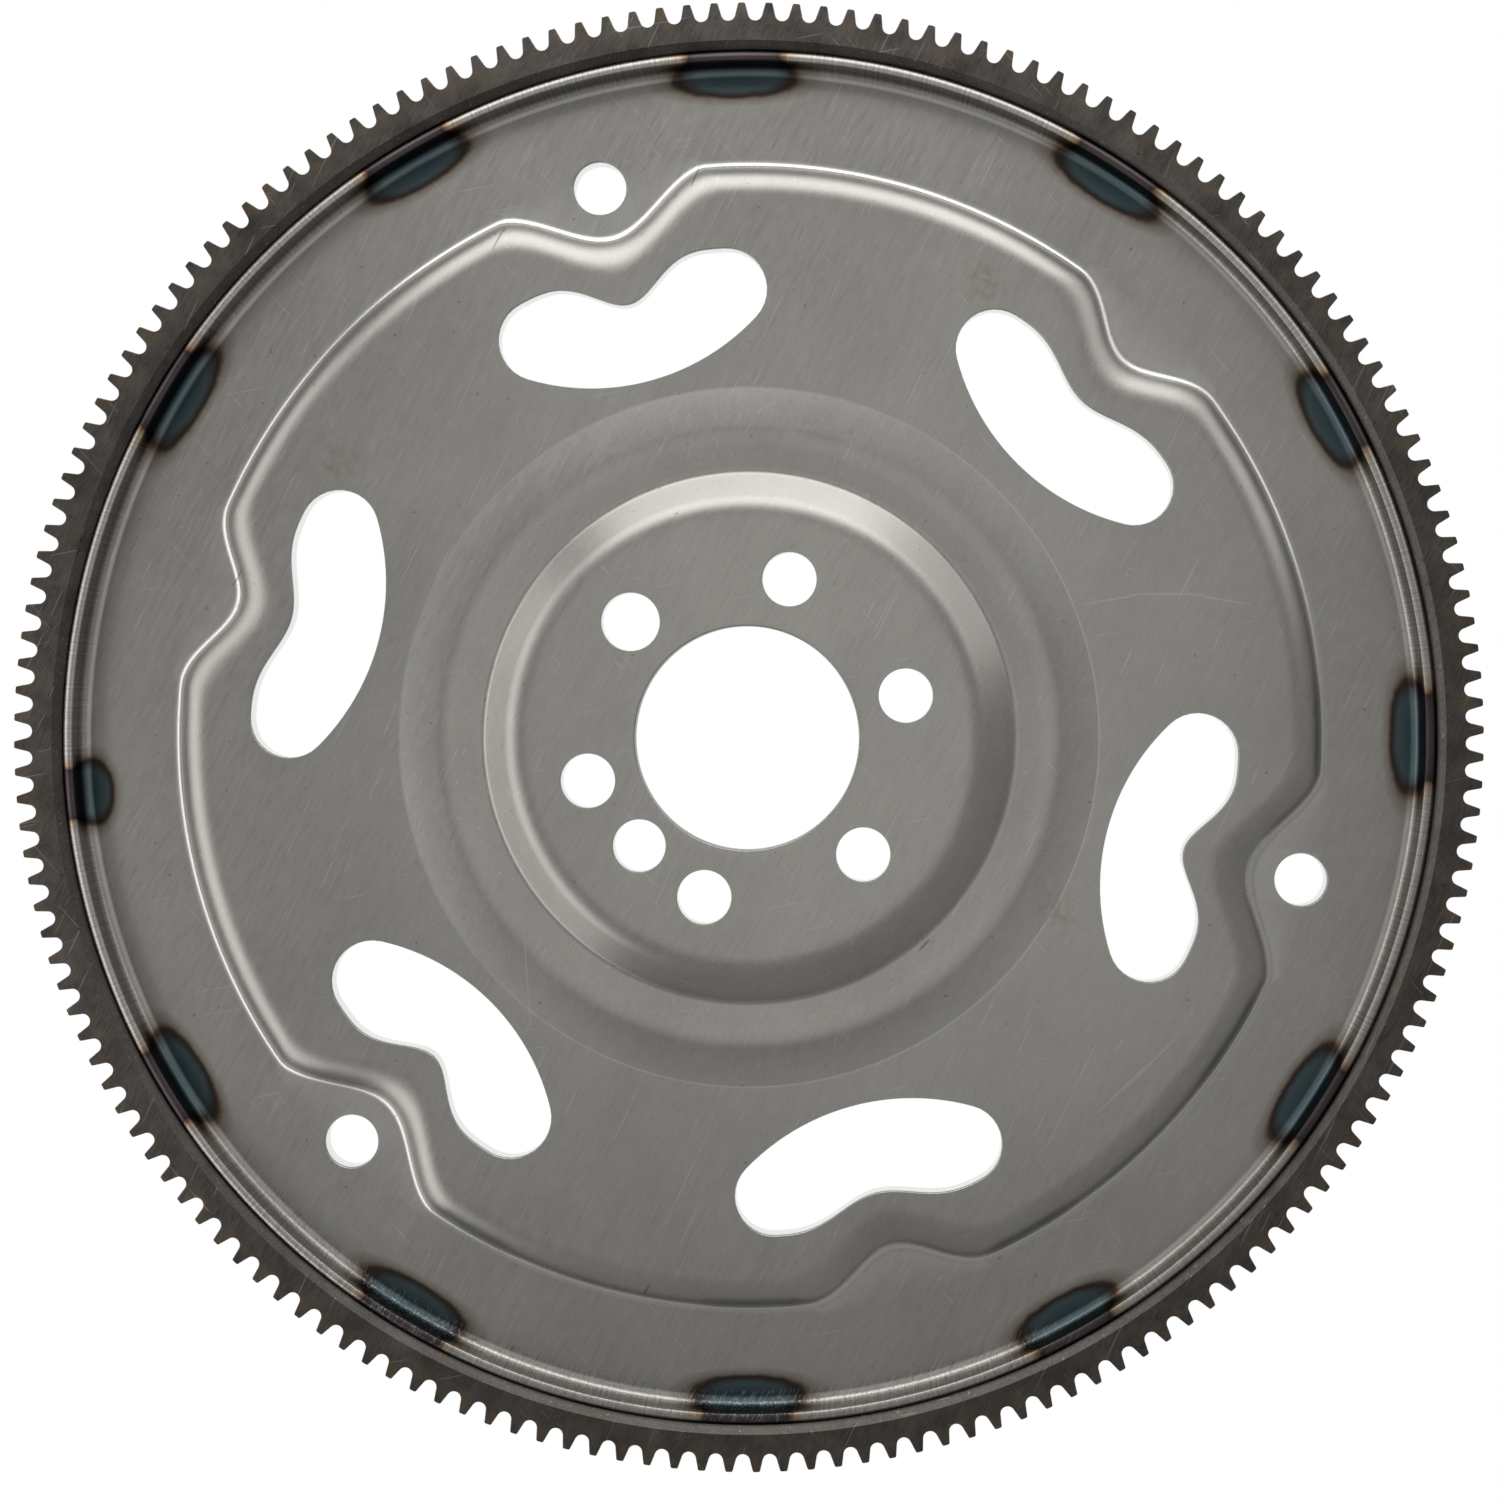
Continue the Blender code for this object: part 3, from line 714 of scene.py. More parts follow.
def sharpen_flats(mesh):
    """Keep the shading of the two flat faces apart from that of the broken edges round them."""
    builder = bmesh.new()
    builder.from_mesh(mesh)
    for edge in builder.edges:
        flats = [abs(face.normal.z) > 0.9999 for face in edge.link_faces]
        if any(flats) and not all(flats):
            edge.smooth = False
    builder.to_mesh(mesh)
    builder.free()


def make_ring_piece(sizes, material):
    ring = finish_piece("toothed_ring", make_toothed_blank(sizes.tooth_corner, sizes.tooth_edge), material)
    cut_away(ring, [make_bore_punch()])
    sharpen_flats(ring.data)
    return ring


# Weld runs

def weld_section():
    """Section of a run as (radius, z): along the heel, down the ring's bore, back over its face."""
    heel = CORNER_RADIUS + SHEET + FIT_CLEARANCE
    section = []
    for step in range(WELD_ARC_STEPS + 1):
        angle = math.radians(WELD_START + (WELD_END - WELD_START) * step / WELD_ARC_STEPS)
        section.append(Vector((FLOOR_OUTER + heel * math.cos(angle),
                               FLOOR_Z + CORNER_RADIUS + heel * math.sin(angle))))
    wall = RING_BORE - FIT_CLEARANCE
    top = section[-1].y + FIT_CLEARANCE
    first = section[0]
    last = Vector((wall, top - WELD_LEG))
    section.append(Vector((wall, top)))
    section.append(last)
    across = last - first
    outward = Vector((across.y, -across.x)).normalized()
    if outward.y > 0:
        outward.negate()
    for step in range(1, WELD_FACE_STEPS):
        share = 1 - step / WELD_FACE_STEPS
        section.append(first + across * share + outward * WELD_BULGE * math.sin(math.pi * share))
    return section


def make_weld_piece(name, middle, half, sizes, material):
    """One run: its section turned through its angle, rippled, and drawn in towards the root at both ends."""
    section = weld_section()
    root = section[WELD_ARC_STEPS]
    builder = bmesh.new()
    corners = [builder.verts.new(polar(point.x, middle - half, point.y)) for point in section]
    face = builder.faces.new(corners)
    bmesh.ops.spin(builder, geom=[face], cent=(0.0, 0.0, 0.0), axis=(0.0, 0.0, 1.0),
                   angle=math.radians(2 * half), steps=WELD_STEPS, use_duplicate=False)
    ripples = sizes.ripple_count * half / WELD_HALF
    for vert in builder.verts:
        degrees = degrees_of(vert.co)
        along = turn_from(middle, degrees) / half
        place = Vector((vert.co.xy.length, vert.co.z))
        arm = place - root
        wave = abs(math.sin(math.pi * ripples * (along + 0.25 * arm.x / WELD_LEG) / 2))
        share = 1 - (1 - WELD_END_SHARE) * min(1.0, abs(along)) ** 6
        if arm.y < -0.4 * WELD_LEG:
            share *= 1 - sizes.ripple * (1 - wave) / WELD_LEG
        place = root + arm * share
        vert.co = polar(place.x, degrees, place.y)
    bmesh.ops.recalc_face_normals(builder, faces=builder.faces)
    return finish_piece(name, builder, material)


# Shader helpers

def new_node(tree, kind, **values):
    node = tree.nodes.new(kind)
    for name, value in values.items():
        if name in node.inputs:
            node.inputs[name].default_value = value
        else:
            setattr(node, name, value)
    return node


def math_node(tree, operation, first, second, clamp=False):
    node = tree.nodes.new("ShaderNodeMath")
    node.operation = operation
    node.use_clamp = clamp
    for socket, value in zip(node.inputs, (first, second)):
        if isinstance(value, (int, float)):
            socket.default_value = value
        else:
            tree.links.new(value, socket)
    return node.outputs[0]


def times(tree, first, second):
    return math_node(tree, "MULTIPLY", first, second)


def vector_node(tree, operation, first, second):
    """A Vector Math node on two sockets; dot products and distances come out as a value."""
    node = tree.nodes.new("ShaderNodeVectorMath")
    node.operation = operation
    tree.links.new(first, node.inputs[0])
    tree.links.new(second, node.inputs[1])
    return node.outputs["Value" if operation in ("DOT_PRODUCT", "DISTANCE") else "Vector"]


def scaled_vector(tree, vector, factor):
    node = new_node(tree, "ShaderNodeVectorMath", operation="SCALE")
    tree.links.new(vector, node.inputs[0])
    tree.links.new(factor, node.inputs["Scale"])
    return node.outputs[0]


def object_place(tree):
    """Coordinates in which patterns stay where they are on the plate."""
    return new_node(tree, "ShaderNodeTexCoord").outputs["Object"]


def stored_value(tree, name):
    return new_node(tree, "ShaderNodeAttribute", attribute_name=name).outputs["Fac"]


def mix_colour(tree, blend, factor, first, second):
    node = tree.nodes.new("ShaderNodeMix")
    node.data_type = "RGBA"
    node.blend_type = blend
    for socket, value in ((node.inputs["Factor"], factor), (node.inputs[6], first), (node.inputs[7], second)):
        if isinstance(value, bpy.types.NodeSocket):
            tree.links.new(value, socket)
        elif isinstance(value, (int, float)):
            socket.default_value = value
        else:
            socket.default_value = (*value, 1.0)
    return node.outputs[2]


def ramp_node(tree, source, stops):
    """A colour ramp fed by a socket; stops are (position, grey or colour)."""
    node = tree.nodes.new("ShaderNodeValToRGB")
    elements = node.color_ramp.elements
    while len(elements) < len(stops):
        elements.new(0.5)
    for element, (position, colour) in zip(elements, stops):
        element.position = position
        element.color = (colour,) * 3 + (1.0,) if isinstance(colour, (int, float)) else (*colour, 1.0)
    tree.links.new(source, node.inputs[0])
    return node.outputs[0]


def noise_node(tree, coordinates, scale, detail=3.0, roughness=0.55):
    node = tree.nodes.new("ShaderNodeTexNoise")
    node.inputs["Scale"].default_value = scale
    node.inputs["Detail"].default_value = detail
    node.inputs["Roughness"].default_value = roughness
    tree.links.new(coordinates, node.inputs["Vector"])
    return node.outputs["Fac"]


def stretched(tree, coordinates, angle, length, width):
    """Coordinates in which a pattern runs in long narrow streaks along an angle in the plane of the plate."""
    node = tree.nodes.new("ShaderNodeMapping")
    node.vector_type = "TEXTURE"
    node.inputs["Rotation"].default_value = (0.0, 0.0, angle)
    node.inputs["Scale"].default_value = (length, width, width)
    tree.links.new(coordinates, node.inputs["Vector"])
    return node.outputs[0]


def radius_and_height(tree):
    """Sockets for a point's distance from the axis and its height."""
    apart = tree.nodes.new("ShaderNodeSeparateXYZ")
    tree.links.new(object_place(tree), apart.inputs[0])
    squares = math_node(tree, "ADD", math_node(tree, "POWER", apart.outputs[0], 2.0),
                        math_node(tree, "POWER", apart.outputs[1], 2.0))
    return math_node(tree, "SQRT", squares, 0.0), apart.outputs[2]


def new_group(name, inputs, outputs):
    tree = bpy.data.node_groups.new(name, "ShaderNodeTree")
    for title, kind, value in inputs:
        socket = tree.interface.new_socket(title, in_out="INPUT", socket_type=kind)
        if value is not None:
            socket.default_value = value
    for title, kind in outputs:
        tree.interface.new_socket(title, in_out="OUTPUT", socket_type=kind)
    return tree, tree.nodes.new("NodeGroupInput"), tree.nodes.new("NodeGroupOutput")


def stroke_group():
    """A mask along a straight stroke between two points of the plate, worn thin at both ends."""
    tree, given, result = new_group(
        "Stroke",
        [("Start", "NodeSocketVector", None), ("End", "NodeSocketVector", None),
         ("Width", "NodeSocketFloat", 0.0003)],
        [("Mask", "NodeSocketFloat")])
    flat = new_node(tree, "ShaderNodeVectorMath", operation="MULTIPLY")
    flat.inputs[1].default_value = (1.0, 1.0, 0.0)
    tree.links.new(object_place(tree), flat.inputs[0])
    line = vector_node(tree, "SUBTRACT", given.outputs["End"], given.outputs["Start"])
    arm = vector_node(tree, "SUBTRACT", flat.outputs[0], given.outputs["Start"])
    share = math_node(tree, "DIVIDE", vector_node(tree, "DOT_PRODUCT", arm, line),
                      vector_node(tree, "DOT_PRODUCT", line, line), clamp=True)
    away = vector_node(tree, "DISTANCE", arm, scaled_vector(tree, line, share))
    side = math_node(tree, "DIVIDE", away, given.outputs["Width"])
    ends = times(tree, share, math_node(tree, "SUBTRACT", 1.0, share))
    ends = math_node(tree, "POWER", times(tree, ends, 4.0), 0.4)
    tree.links.new(math_node(tree, "SUBTRACT", ends, side, clamp=True), result.inputs["Mask"])
    return tree


def stroke_masks(tree, strokes, z, width):
    """The joined mask of strokes whose ends are columns and rows of the frame."""
    joined = 0.0
    for first_column, first_row, last_column, last_row in strokes:
        stroke = place_group(tree, shared_group("Stroke", stroke_group), Width=width)
        stroke.inputs["Start"].default_value = (*seen_at(first_column, first_row, z), 0.0)
        stroke.inputs["End"].default_value = (*seen_at(last_column, last_row, z), 0.0)
        joined = math_node(tree, "MAXIMUM", joined, stroke.outputs["Mask"])
    return joined


def place_group(tree, group, **values):
    node = tree.nodes.new("ShaderNodeGroup")
    node.node_tree = group
    for title, value in values.items():
        node.inputs[title.replace("_", " ")].default_value = value
    return node


def steel_wear_group():
    """Mottling, dark specks and thin random scratches, for every steel here."""
    tree, given, result = new_group(
        "Steel wear",
        [("Mottle Size", "NodeSocketFloat", 0.05), ("Speck Share", "NodeSocketFloat", 0.2)],
        [("Mottle", "NodeSocketFloat"), ("Specks", "NodeSocketFloat"), ("Scratches", "NodeSocketFloat")])
    place = object_place(tree)
    size = math_node(tree, "DIVIDE", 1.0, given.outputs["Mottle Size"])
    tree.links.new(noise_node(tree, scaled_vector(tree, place, size), 1.0, 5.0, 0.6),
                   result.inputs["Mottle"])

    dots = new_node(tree, "ShaderNodeTexVoronoi", Scale=260.0, Randomness=1.0)
    tree.links.new(place, dots.inputs["Vector"])
    near = ramp_node(tree, dots.outputs["Distance"], [(0.05, 1.0), (0.16, 0.0)])
    chosen = math_node(tree, "LESS_THAN", noise_node(tree, place, 900.0, 0.0), given.outputs["Speck Share"])
    tree.links.new(times(tree, near, chosen), result.inputs["Specks"])

    lines = None
    for angle, length, width, rarity in ((1.13, 0.016, 0.0005, 0.79), (2.3, 0.010, 0.0004, 0.82),
                                         (0.2, 0.012, 0.0004, 0.83)):
        streaks = noise_node(tree, stretched(tree, place, angle, length, width), 1.0, 0.0)
        line = ramp_node(tree, streaks, [(rarity, 0.0), (rarity + 0.03, 1.0)])
        lines = line if lines is None else math_node(tree, "MAXIMUM", lines, line)
    tree.links.new(lines, result.inputs["Scratches"])
    return tree


def heat_tint_and_highlight_group():
    """Colours that heat leaves on bare steel, from shares of the mark's width, reach and height, with a
    painted highlight: a lighter streak low on the rim's corner fillet in the middle of each mark.
    """
    tree, given, result = new_group(
        "Heat tint",
        [("Side", "NodeSocketFloat", 2.0), ("Inward", "NodeSocketFloat", 2.0),
         ("Upward", "NodeSocketFloat", 0.0)],
        [("Colour", "NodeSocketColor"), ("Cover", "NodeSocketFloat")])
    place = object_place(tree)
    ragged = noise_node(tree, place, 300.0, 3.0)
    ragged = times(tree, math_node(tree, "SUBTRACT", ragged, 0.5), 0.14)
    inward = math_node(tree, "MAXIMUM", given.outputs["Inward"], 0.0)
    upward = math_node(tree, "MAXIMUM", given.outputs["Upward"], 0.0, clamp=True)
    squares = math_node(tree, "ADD", math_node(tree, "POWER", given.outputs["Side"], 2.0),
                        math_node(tree, "POWER", inward, 2.0))
    off = math_node(tree, "ADD", math_node(tree, "SQRT", squares, 0.0), ragged)
    off = math_node(tree, "ADD", off, times(tree, upward, 0.24))
    on_floor = ramp_node(tree, off, [(0.10, (0.043, 0.070, 0.080)), (0.58, (0.056, 0.079, 0.086)),
                                     (0.70, (0.046, 0.051, 0.052)), (0.80, (0.032, 0.027, 0.025)),
                                     (0.90, (0.060, 0.040, 0.026)), (1.0, (0.120, 0.085, 0.055))])
    # Painted highlight: a lighter bluish streak low on the corner fillet between floor and rim wall, in the
    # middle of each heat mark, standing in for the fillet's reflection.
    painted_fillet_highlight = times(tree, ramp_node(tree, upward, [(0.0, 0.0), (0.07, 1.0), (0.18, 0.0)]),
                   ramp_node(tree, off, [(0.55, 0.45), (0.80, 0.0)]))
    on_floor = mix_colour(tree, "MIX", painted_fillet_highlight, on_floor, (0.19, 0.23, 0.24))
    on_wall = mix_colour(tree, "MULTIPLY", 1.0, on_floor, (0.55, 0.50, 0.48))
    on_lip = ramp_node(tree, off, [(0.40, (0.060, 0.050, 0.052)), (0.78, (0.052, 0.041, 0.043)),
                                   (0.87, (0.034, 0.026, 0.025)), (0.95, (0.17, 0.080, 0.026)),
                                   (1.0, (0.24, 0.16, 0.08))])
    colour = mix_colour(tree, "MIX", ramp_node(tree, upward, [(0.15, 0.0), (0.30, 1.0)]), on_floor, on_wall)
    colour = mix_colour(tree, "MIX", ramp_node(tree, upward, [(0.66, 0.0), (0.78, 1.0)]), colour, on_lip)
    cover = ramp_node(tree, times(tree, off, 0.7), [(0.61, 1.0), (0.72, 0.5), (0.90, 0.0)])
    tree.links.new(colour, result.inputs["Colour"])
    tree.links.new(cover, result.inputs["Cover"])
    return tree


def turned_marks_group():
    """Fine rings round the axis, as a lathe leaves them."""
    tree, given, result = new_group(
        "Turned marks", [("Pitch", "NodeSocketFloat", 0.0004)], [("Height", "NodeSocketFloat")])
    radius, height = radius_and_height(tree)
    radius = math_node(tree, "DIVIDE", radius, given.outputs["Pitch"])
    height = math_node(tree, "DIVIDE", height, given.outputs["Pitch"])
    joined = tree.nodes.new("ShaderNodeCombineXYZ")
    tree.links.new(radius, joined.inputs[0])
    tree.links.new(height, joined.inputs[1])
    tree.links.new(noise_node(tree, joined.outputs[0], 1.0, 2.0), result.inputs["Height"])
    return tree


def new_steel(name):
    material = bpy.data.materials.new(name)
    material.use_nodes = True
    tree = material.node_tree
    shader = tree.nodes["Principled BSDF"]
    shader.inputs["Metallic"].default_value = 1.0
    return material, tree, shader


def finish_steel(tree, shader, colour, rough, height, strength, distance):
    """Feed the shader its colour, its roughness and a bump of the height."""
    tree.links.new(colour, shader.inputs["Base Color"])
    tree.links.new(rough, shader.inputs["Roughness"])
    bump = new_node(tree, "ShaderNodeBump", Strength=strength, Distance=distance)
    tree.links.new(height, bump.inputs["Height"])
    tree.links.new(bump.outputs[0], shader.inputs["Normal"])


def sheet_steel(finish, wear, tint):
    """Bare rolled sheet: fine straight grain, mottling, scratches, specks, smudges and heat marks, with a
    painted highlight on the rim's corner fillet inside each heat mark.
    """
    material, tree, shader = new_steel("Rolled sheet steel")
    place = object_place(tree)
    fine = noise_node(tree, stretched(tree, place, finish.grain_angle, 0.0045, 0.00022), 1.0, 2.0, 0.6)
    broad = noise_node(tree, stretched(tree, place, finish.grain_angle, 0.020, 0.0012), 1.0, 3.0, 0.55)
    grain = math_node(tree, "ADD", times(tree, fine, 0.72), times(tree, broad, 0.28))
    marks = place_group(tree, wear, Mottle_Size=0.035, Speck_Share=0.34)

    colour = mix_colour(tree, "MULTIPLY", finish.grain_strength, finish.sheet_colour[:],
                        ramp_node(tree, grain, [(0.32, 0.84), (0.50, 1.0), (0.68, 1.14)]))
    colour = mix_colour(tree, "MULTIPLY", 0.5, colour,
                        ramp_node(tree, marks.outputs["Mottle"], [(0.30, 0.84), (0.70, 1.10)]))
    shine = stored_value(tree, "polish")
    colour = mix_colour(tree, "MIX", times(tree, shine, 0.6), colour, (0.62, 0.61, 0.59))
    scratches = stroke_masks(tree, SCRATCHES, PLATEAU_Z, SCRATCH_WIDTH)
    light = math_node(tree, "MAXIMUM", times(tree, marks.outputs["Scratches"], 0.3),
                      times(tree, scratches, 0.42))
    colour = mix_colour(tree, "MIX", light, colour, (0.50, 0.49, 0.47))
    nicks = stroke_masks(tree, NICKS, PLATEAU_Z, NICK_WIDTH)
    dark = math_node(tree, "MAXIMUM", times(tree, marks.outputs["Specks"], 0.5), times(tree, nicks, 0.75))
    colour = mix_colour(tree, "MIX", dark, colour, (0.09, 0.075, 0.06))
    colour = mix_colour(tree, "MIX", smudge_mask(tree, place), colour, (0.20, 0.155, 0.105))

    scuff = stored_value(tree, "scuff")
    strokes = noise_node(tree, stretched(tree, place, finish.grain_angle, 0.0034, 0.00042), 1.0, 1.0)
    rubbed = times(tree, scuff, ramp_node(tree, strokes, [(0.56, 0.0), (0.64, 1.0)]))
    dented = times(tree, scuff, ramp_node(tree, strokes, [(0.34, 1.0), (0.40, 0.0)]))

    radius, height = radius_and_height(tree)
    # Heat marks of the welds; their colour also holds a painted highlight streak on the rim's corner fillet.
    heat_marks_and_highlight = place_group(tree, tint)
    tree.links.new(stored_value(tree, "heat_side"), heat_marks_and_highlight.inputs["Side"])
    inward = math_node(tree, "DIVIDE", math_node(tree, "SUBTRACT", FLOOR_OUTER, radius), HEAT_REACH)
    tree.links.new(inward, heat_marks_and_highlight.inputs["Inward"])
    upward = math_node(tree, "DIVIDE", math_node(tree, "SUBTRACT", height, FLOOR_Z), LIP_Z - FLOOR_Z)
    tree.links.new(upward, heat_marks_and_highlight.inputs["Upward"])
    on_rim = times(tree, ramp_node(tree, upward, [(0.03, 0.0), (0.20, 0.5)]),
                   math_node(tree, "LESS_THAN", inward, 0.0))
    colour = mix_colour(tree, "MULTIPLY", on_rim, colour,
                        ramp_node(tree, across_rim(tree), [(0.36, 0.68), (0.64, 1.30)]))
    colour = mix_colour(tree, "MIX", heat_marks_and_highlight.outputs["Cover"], colour, heat_marks_and_highlight.outputs["Colour"])
    colour = mix_colour(tree, "MIX", times(tree, rubbed, 0.22), colour, (0.52, 0.53, 0.52))
    colour = mix_colour(tree, "MIX", times(tree, dented, 0.35), colour, (0.05, 0.05, 0.05))

    rough = math_node(tree, "ADD", 0.25, times(tree, grain, 0.20))
    rough = math_node(tree, "SUBTRACT", rough, times(tree, shine, 0.06))
    relief = math_node(tree, "SUBTRACT", grain, times(tree, dark, 0.6))
    relief = math_node(tree, "SUBTRACT", relief, times(tree, dented, 0.5))
    finish_steel(tree, shader, colour, rough, relief, 0.25, 0.00005)
    return material


def across_rim(tree):
    """Noise that changes only with the angle, for the fine strokes that bending leaves across the rim."""
    apart = tree.nodes.new("ShaderNodeSeparateXYZ")
    tree.links.new(object_place(tree), apart.inputs[0])
    strokes = new_node(tree, "ShaderNodeTexNoise", noise_dimensions="1D", Scale=260.0, Detail=2.0)
    tree.links.new(math_node(tree, "ARCTAN2", apart.outputs[1], apart.outputs[0]), strokes.inputs["W"])
    return strokes.outputs["Fac"]


def smudge_mask(tree, place):
    """Faint brown smudges about their middles, broken up by noise."""
    joined = 0.0
    for column, row in SMUDGES:
        spot = new_node(tree, "ShaderNodeVectorMath", operation="DISTANCE")
        spot.inputs[1].default_value = (*seen_at(column, row, PLATEAU_Z), PLATEAU_Z)
        tree.links.new(place, spot.inputs[0])
        share = math_node(tree, "DIVIDE", spot.outputs["Value"], SMUDGE_RADIUS)
        near = math_node(tree, "SUBTRACT", 1.0, share, clamp=True)
        joined = math_node(tree, "MAXIMUM", joined, near)
    patchy = ramp_node(tree, noise_node(tree, place, 420.0, 3.0), [(0.42, 0.0), (0.66, 1.0)])
    return times(tree, times(tree, joined, patchy), 0.55)


def sheared_steel(finish):
    """Bright wall that a punch leaves, with fine drawn marks that vary its colour and roughness."""
    material, tree, shader = new_steel("Sheared steel")
    place = object_place(tree)
    drawn = noise_node(tree, stretched(tree, place, 0.0, 0.0002, 0.0002), 1.0, 2.0)
    colour = mix_colour(tree, "MULTIPLY", 1.0, finish.sheared_colour[:],
                        ramp_node(tree, drawn, [(0.35, 0.92), (0.60, 1.0)]))
    rough = math_node(tree, "ADD", 0.12, times(tree, drawn, 0.25))
    finish_steel(tree, shader, colour, rough, drawn, 0.1, 0.00002)
    return material


def ring_steel(finish, wear, turned):
    """Dark machined steel with fine diagonal marks, and brown tints towards the roots of the teeth."""
    material, tree, shader = new_steel("Ring gear steel")
    place = object_place(tree)
    marks = place_group(tree, wear, Mottle_Size=0.010, Speck_Share=0.42)
    rings = place_group(tree, turned, Pitch=0.00035)
    streaks = noise_node(tree, stretched(tree, place, finish.grain_angle, 0.0030, 0.00030), 1.0, 2.0)
    radius, _ = radius_and_height(tree)
    toothed = math_node(tree, "DIVIDE", math_node(tree, "SUBTRACT", radius, ROOT_RADIUS - 0.0035), 0.004,
                        clamp=True)
    blotches = ramp_node(tree, noise_node(tree, place, 190.0, 4.0, 0.6), [(0.44, 0.0), (0.66, 1.0)])
    tinted = times(tree, blotches, math_node(tree, "ADD", 0.12, times(tree, toothed, 0.42)))
    colour = mix_colour(tree, "MULTIPLY", 0.8, finish.ring_colour[:],
                        ramp_node(tree, marks.outputs["Mottle"], [(0.30, 0.70), (0.70, 1.30)]))
    colour = mix_colour(tree, "MULTIPLY", 0.8, colour, ramp_node(tree, streaks, [(0.32, 0.74), (0.68, 1.30)]))
    colour = mix_colour(tree, "MIX", tinted, colour, finish.tint_colour[:])
    colour = mix_colour(tree, "MIX", times(tree, marks.outputs["Scratches"], 0.5), colour,
                        (0.24, 0.23, 0.22))
    colour = mix_colour(tree, "MIX", times(tree, marks.outputs["Specks"], 0.6), colour,
                        (0.02, 0.018, 0.016))
    rough = math_node(tree, "ADD", 0.28, times(tree, marks.outputs["Mottle"], 0.22))
    relief = math_node(tree, "ADD", rings.outputs["Height"], times(tree, streaks, 0.6))
    finish_steel(tree, shader, colour, rough, relief, 0.3, 0.00005)
    return material


def weld_metal(finish, wear):
    """Dark oxidised weld metal with blue and brown patches."""
    material, tree, shader = new_steel("Weld metal")
    place = object_place(tree)
    marks = place_group(tree, wear, Mottle_Size=0.006, Speck_Share=0.45)
    colour = mix_colour(tree, "MULTIPLY", 0.7, finish.weld_colour[:],
                        ramp_node(tree, marks.outputs["Mottle"], [(0.30, 0.55), (0.70, 1.5)]))
    patches = ramp_node(tree, noise_node(tree, place, 300.0, 3.0), [(0.50, 0.0), (0.66, 1.0)])
    colour = mix_colour(tree, "MIX", times(tree, patches, 0.5), colour, finish.tint_colour[:])
    rough = math_node(tree, "ADD", 0.36, times(tree, marks.outputs["Mottle"], 0.3))
    finish_steel(tree, shader, colour, rough, marks.outputs["Mottle"], 0.3, 0.0002)
    return material


# Operators

class FLEXPLATE_OT_disc(bpy.types.Operator):
    """Build the pressed disc, with its holes, slots, rolled edges and heat marks"""
    bl_idname = "flexplate.disc"
    bl_label = "Pressed Disc"

    def execute(self, context):
        settings = context.scene
        material = sheet_steel(settings.flexplate_finish, shared_group("Steel wear", steel_wear_group),
                               shared_group("Heat tint", heat_tint_and_highlight_group))
        disc = make_disc_piece(settings.flexplate_sizes, material, sheared_steel(settings.flexplate_finish))
        hand_over(disc, "disc")
        return {"FINISHED"}


class FLEXPLATE_OT_ring(bpy.types.Operator):
    """Build the starter ring gear with its teeth, chamfer and broken edges"""
    bl_idname = "flexplate.ring"
    bl_label = "Ring Gear"

    def execute(self, context):
        settings = context.scene
        material = ring_steel(settings.flexplate_finish, shared_group("Steel wear", steel_wear_group),
                              shared_group("Turned marks", turned_marks_group))
        ring = make_ring_piece(settings.flexplate_sizes, material)
        hand_over(ring, "ring_gear")
        return {"FINISHED"}


class FLEXPLATE_OT_welds(bpy.types.Operator):
    """Build the twelve weld runs on the back, with their ripples"""
    bl_idname = "flexplate.welds"
    bl_label = "Weld Runs"

    def execute(self, context):
        settings = context.scene
        material = weld_metal(settings.flexplate_finish, shared_group("Steel wear", steel_wear_group))
        for index, middle in enumerate(WELD_ANGLES):
            half = SHORT_WELD_HALF if index == SHORT_WELD_INDEX else WELD_HALF
            name = f"weld_run_{index + 1:02d}"
            run = make_weld_piece(name, middle, half, settings.flexplate_sizes, material)
            hand_over(run, f"weld_bead_{index + 1:02d}")
        return {"FINISHED"}


class FLEXPLATE_OT_stage(bpy.types.Operator):
    """Set the floor, the soft lights and the camera that looks down on the plate"""
    bl_idname = "flexplate.stage"
    bl_label = "Stage"

    def execute(self, context):
        stage = context.scene.flexplate_stage
        make_floor()
        make_world(stage)
        for name, setting, size, azimuth, from_vertical, distance in LIGHTS:
            add_light(name, getattr(stage, setting), size, azimuth, from_vertical, distance)
        make_camera(stage)
        context.scene.view_settings.view_transform = "Standard"
        return {"FINISHED"}


def shared_group(name, build):
    return bpy.data.node_groups.get(name) or build()


def make_floor():
    builder = bmesh.new()
    bmesh.ops.create_grid(builder, x_segments=1, y_segments=1, size=FLOOR_HALF)
    bmesh.ops.translate(builder, verts=builder.verts, vec=(0.0, 0.0, -FLOOR_GAP))
    material = bpy.data.materials.new("White floor")
    material.use_nodes = True
    tree = material.node_tree
    shader = tree.nodes["Principled BSDF"]
    shader.inputs["Base Color"].default_value = (0.8, 0.8, 0.8, 1.0)
    shader.inputs["Roughness"].default_value = 0.9
    path = new_node(tree, "ShaderNodeLightPath")
    seen = math_node(tree, "MAXIMUM", path.outputs["Is Camera Ray"], path.outputs["Is Glossy Ray"])
    seen = math_node(tree, "MAXIMUM", seen, path.outputs["Is Transmission Ray"])
    white = new_node(tree, "ShaderNodeEmission", Strength=1.0)
    mixed = new_node(tree, "ShaderNodeMixShader")
    tree.links.new(seen, mixed.inputs["Fac"])
    tree.links.new(shader.outputs[0], mixed.inputs[1])
    tree.links.new(white.outputs[0], mixed.inputs[2])
    tree.links.new(mixed.outputs[0], tree.nodes["Material Output"].inputs["Surface"])
    finish_piece("floor", builder, material)


def make_world(stage):
    world = bpy.data.worlds.new("Studio")
    bpy.context.scene.world = world
    world.use_nodes = True
    background = world.node_tree.nodes["Background"]
    background.inputs["Color"].default_value = (*stage.world_colour, 1.0)
    background.inputs["Strength"].default_value = 1.0


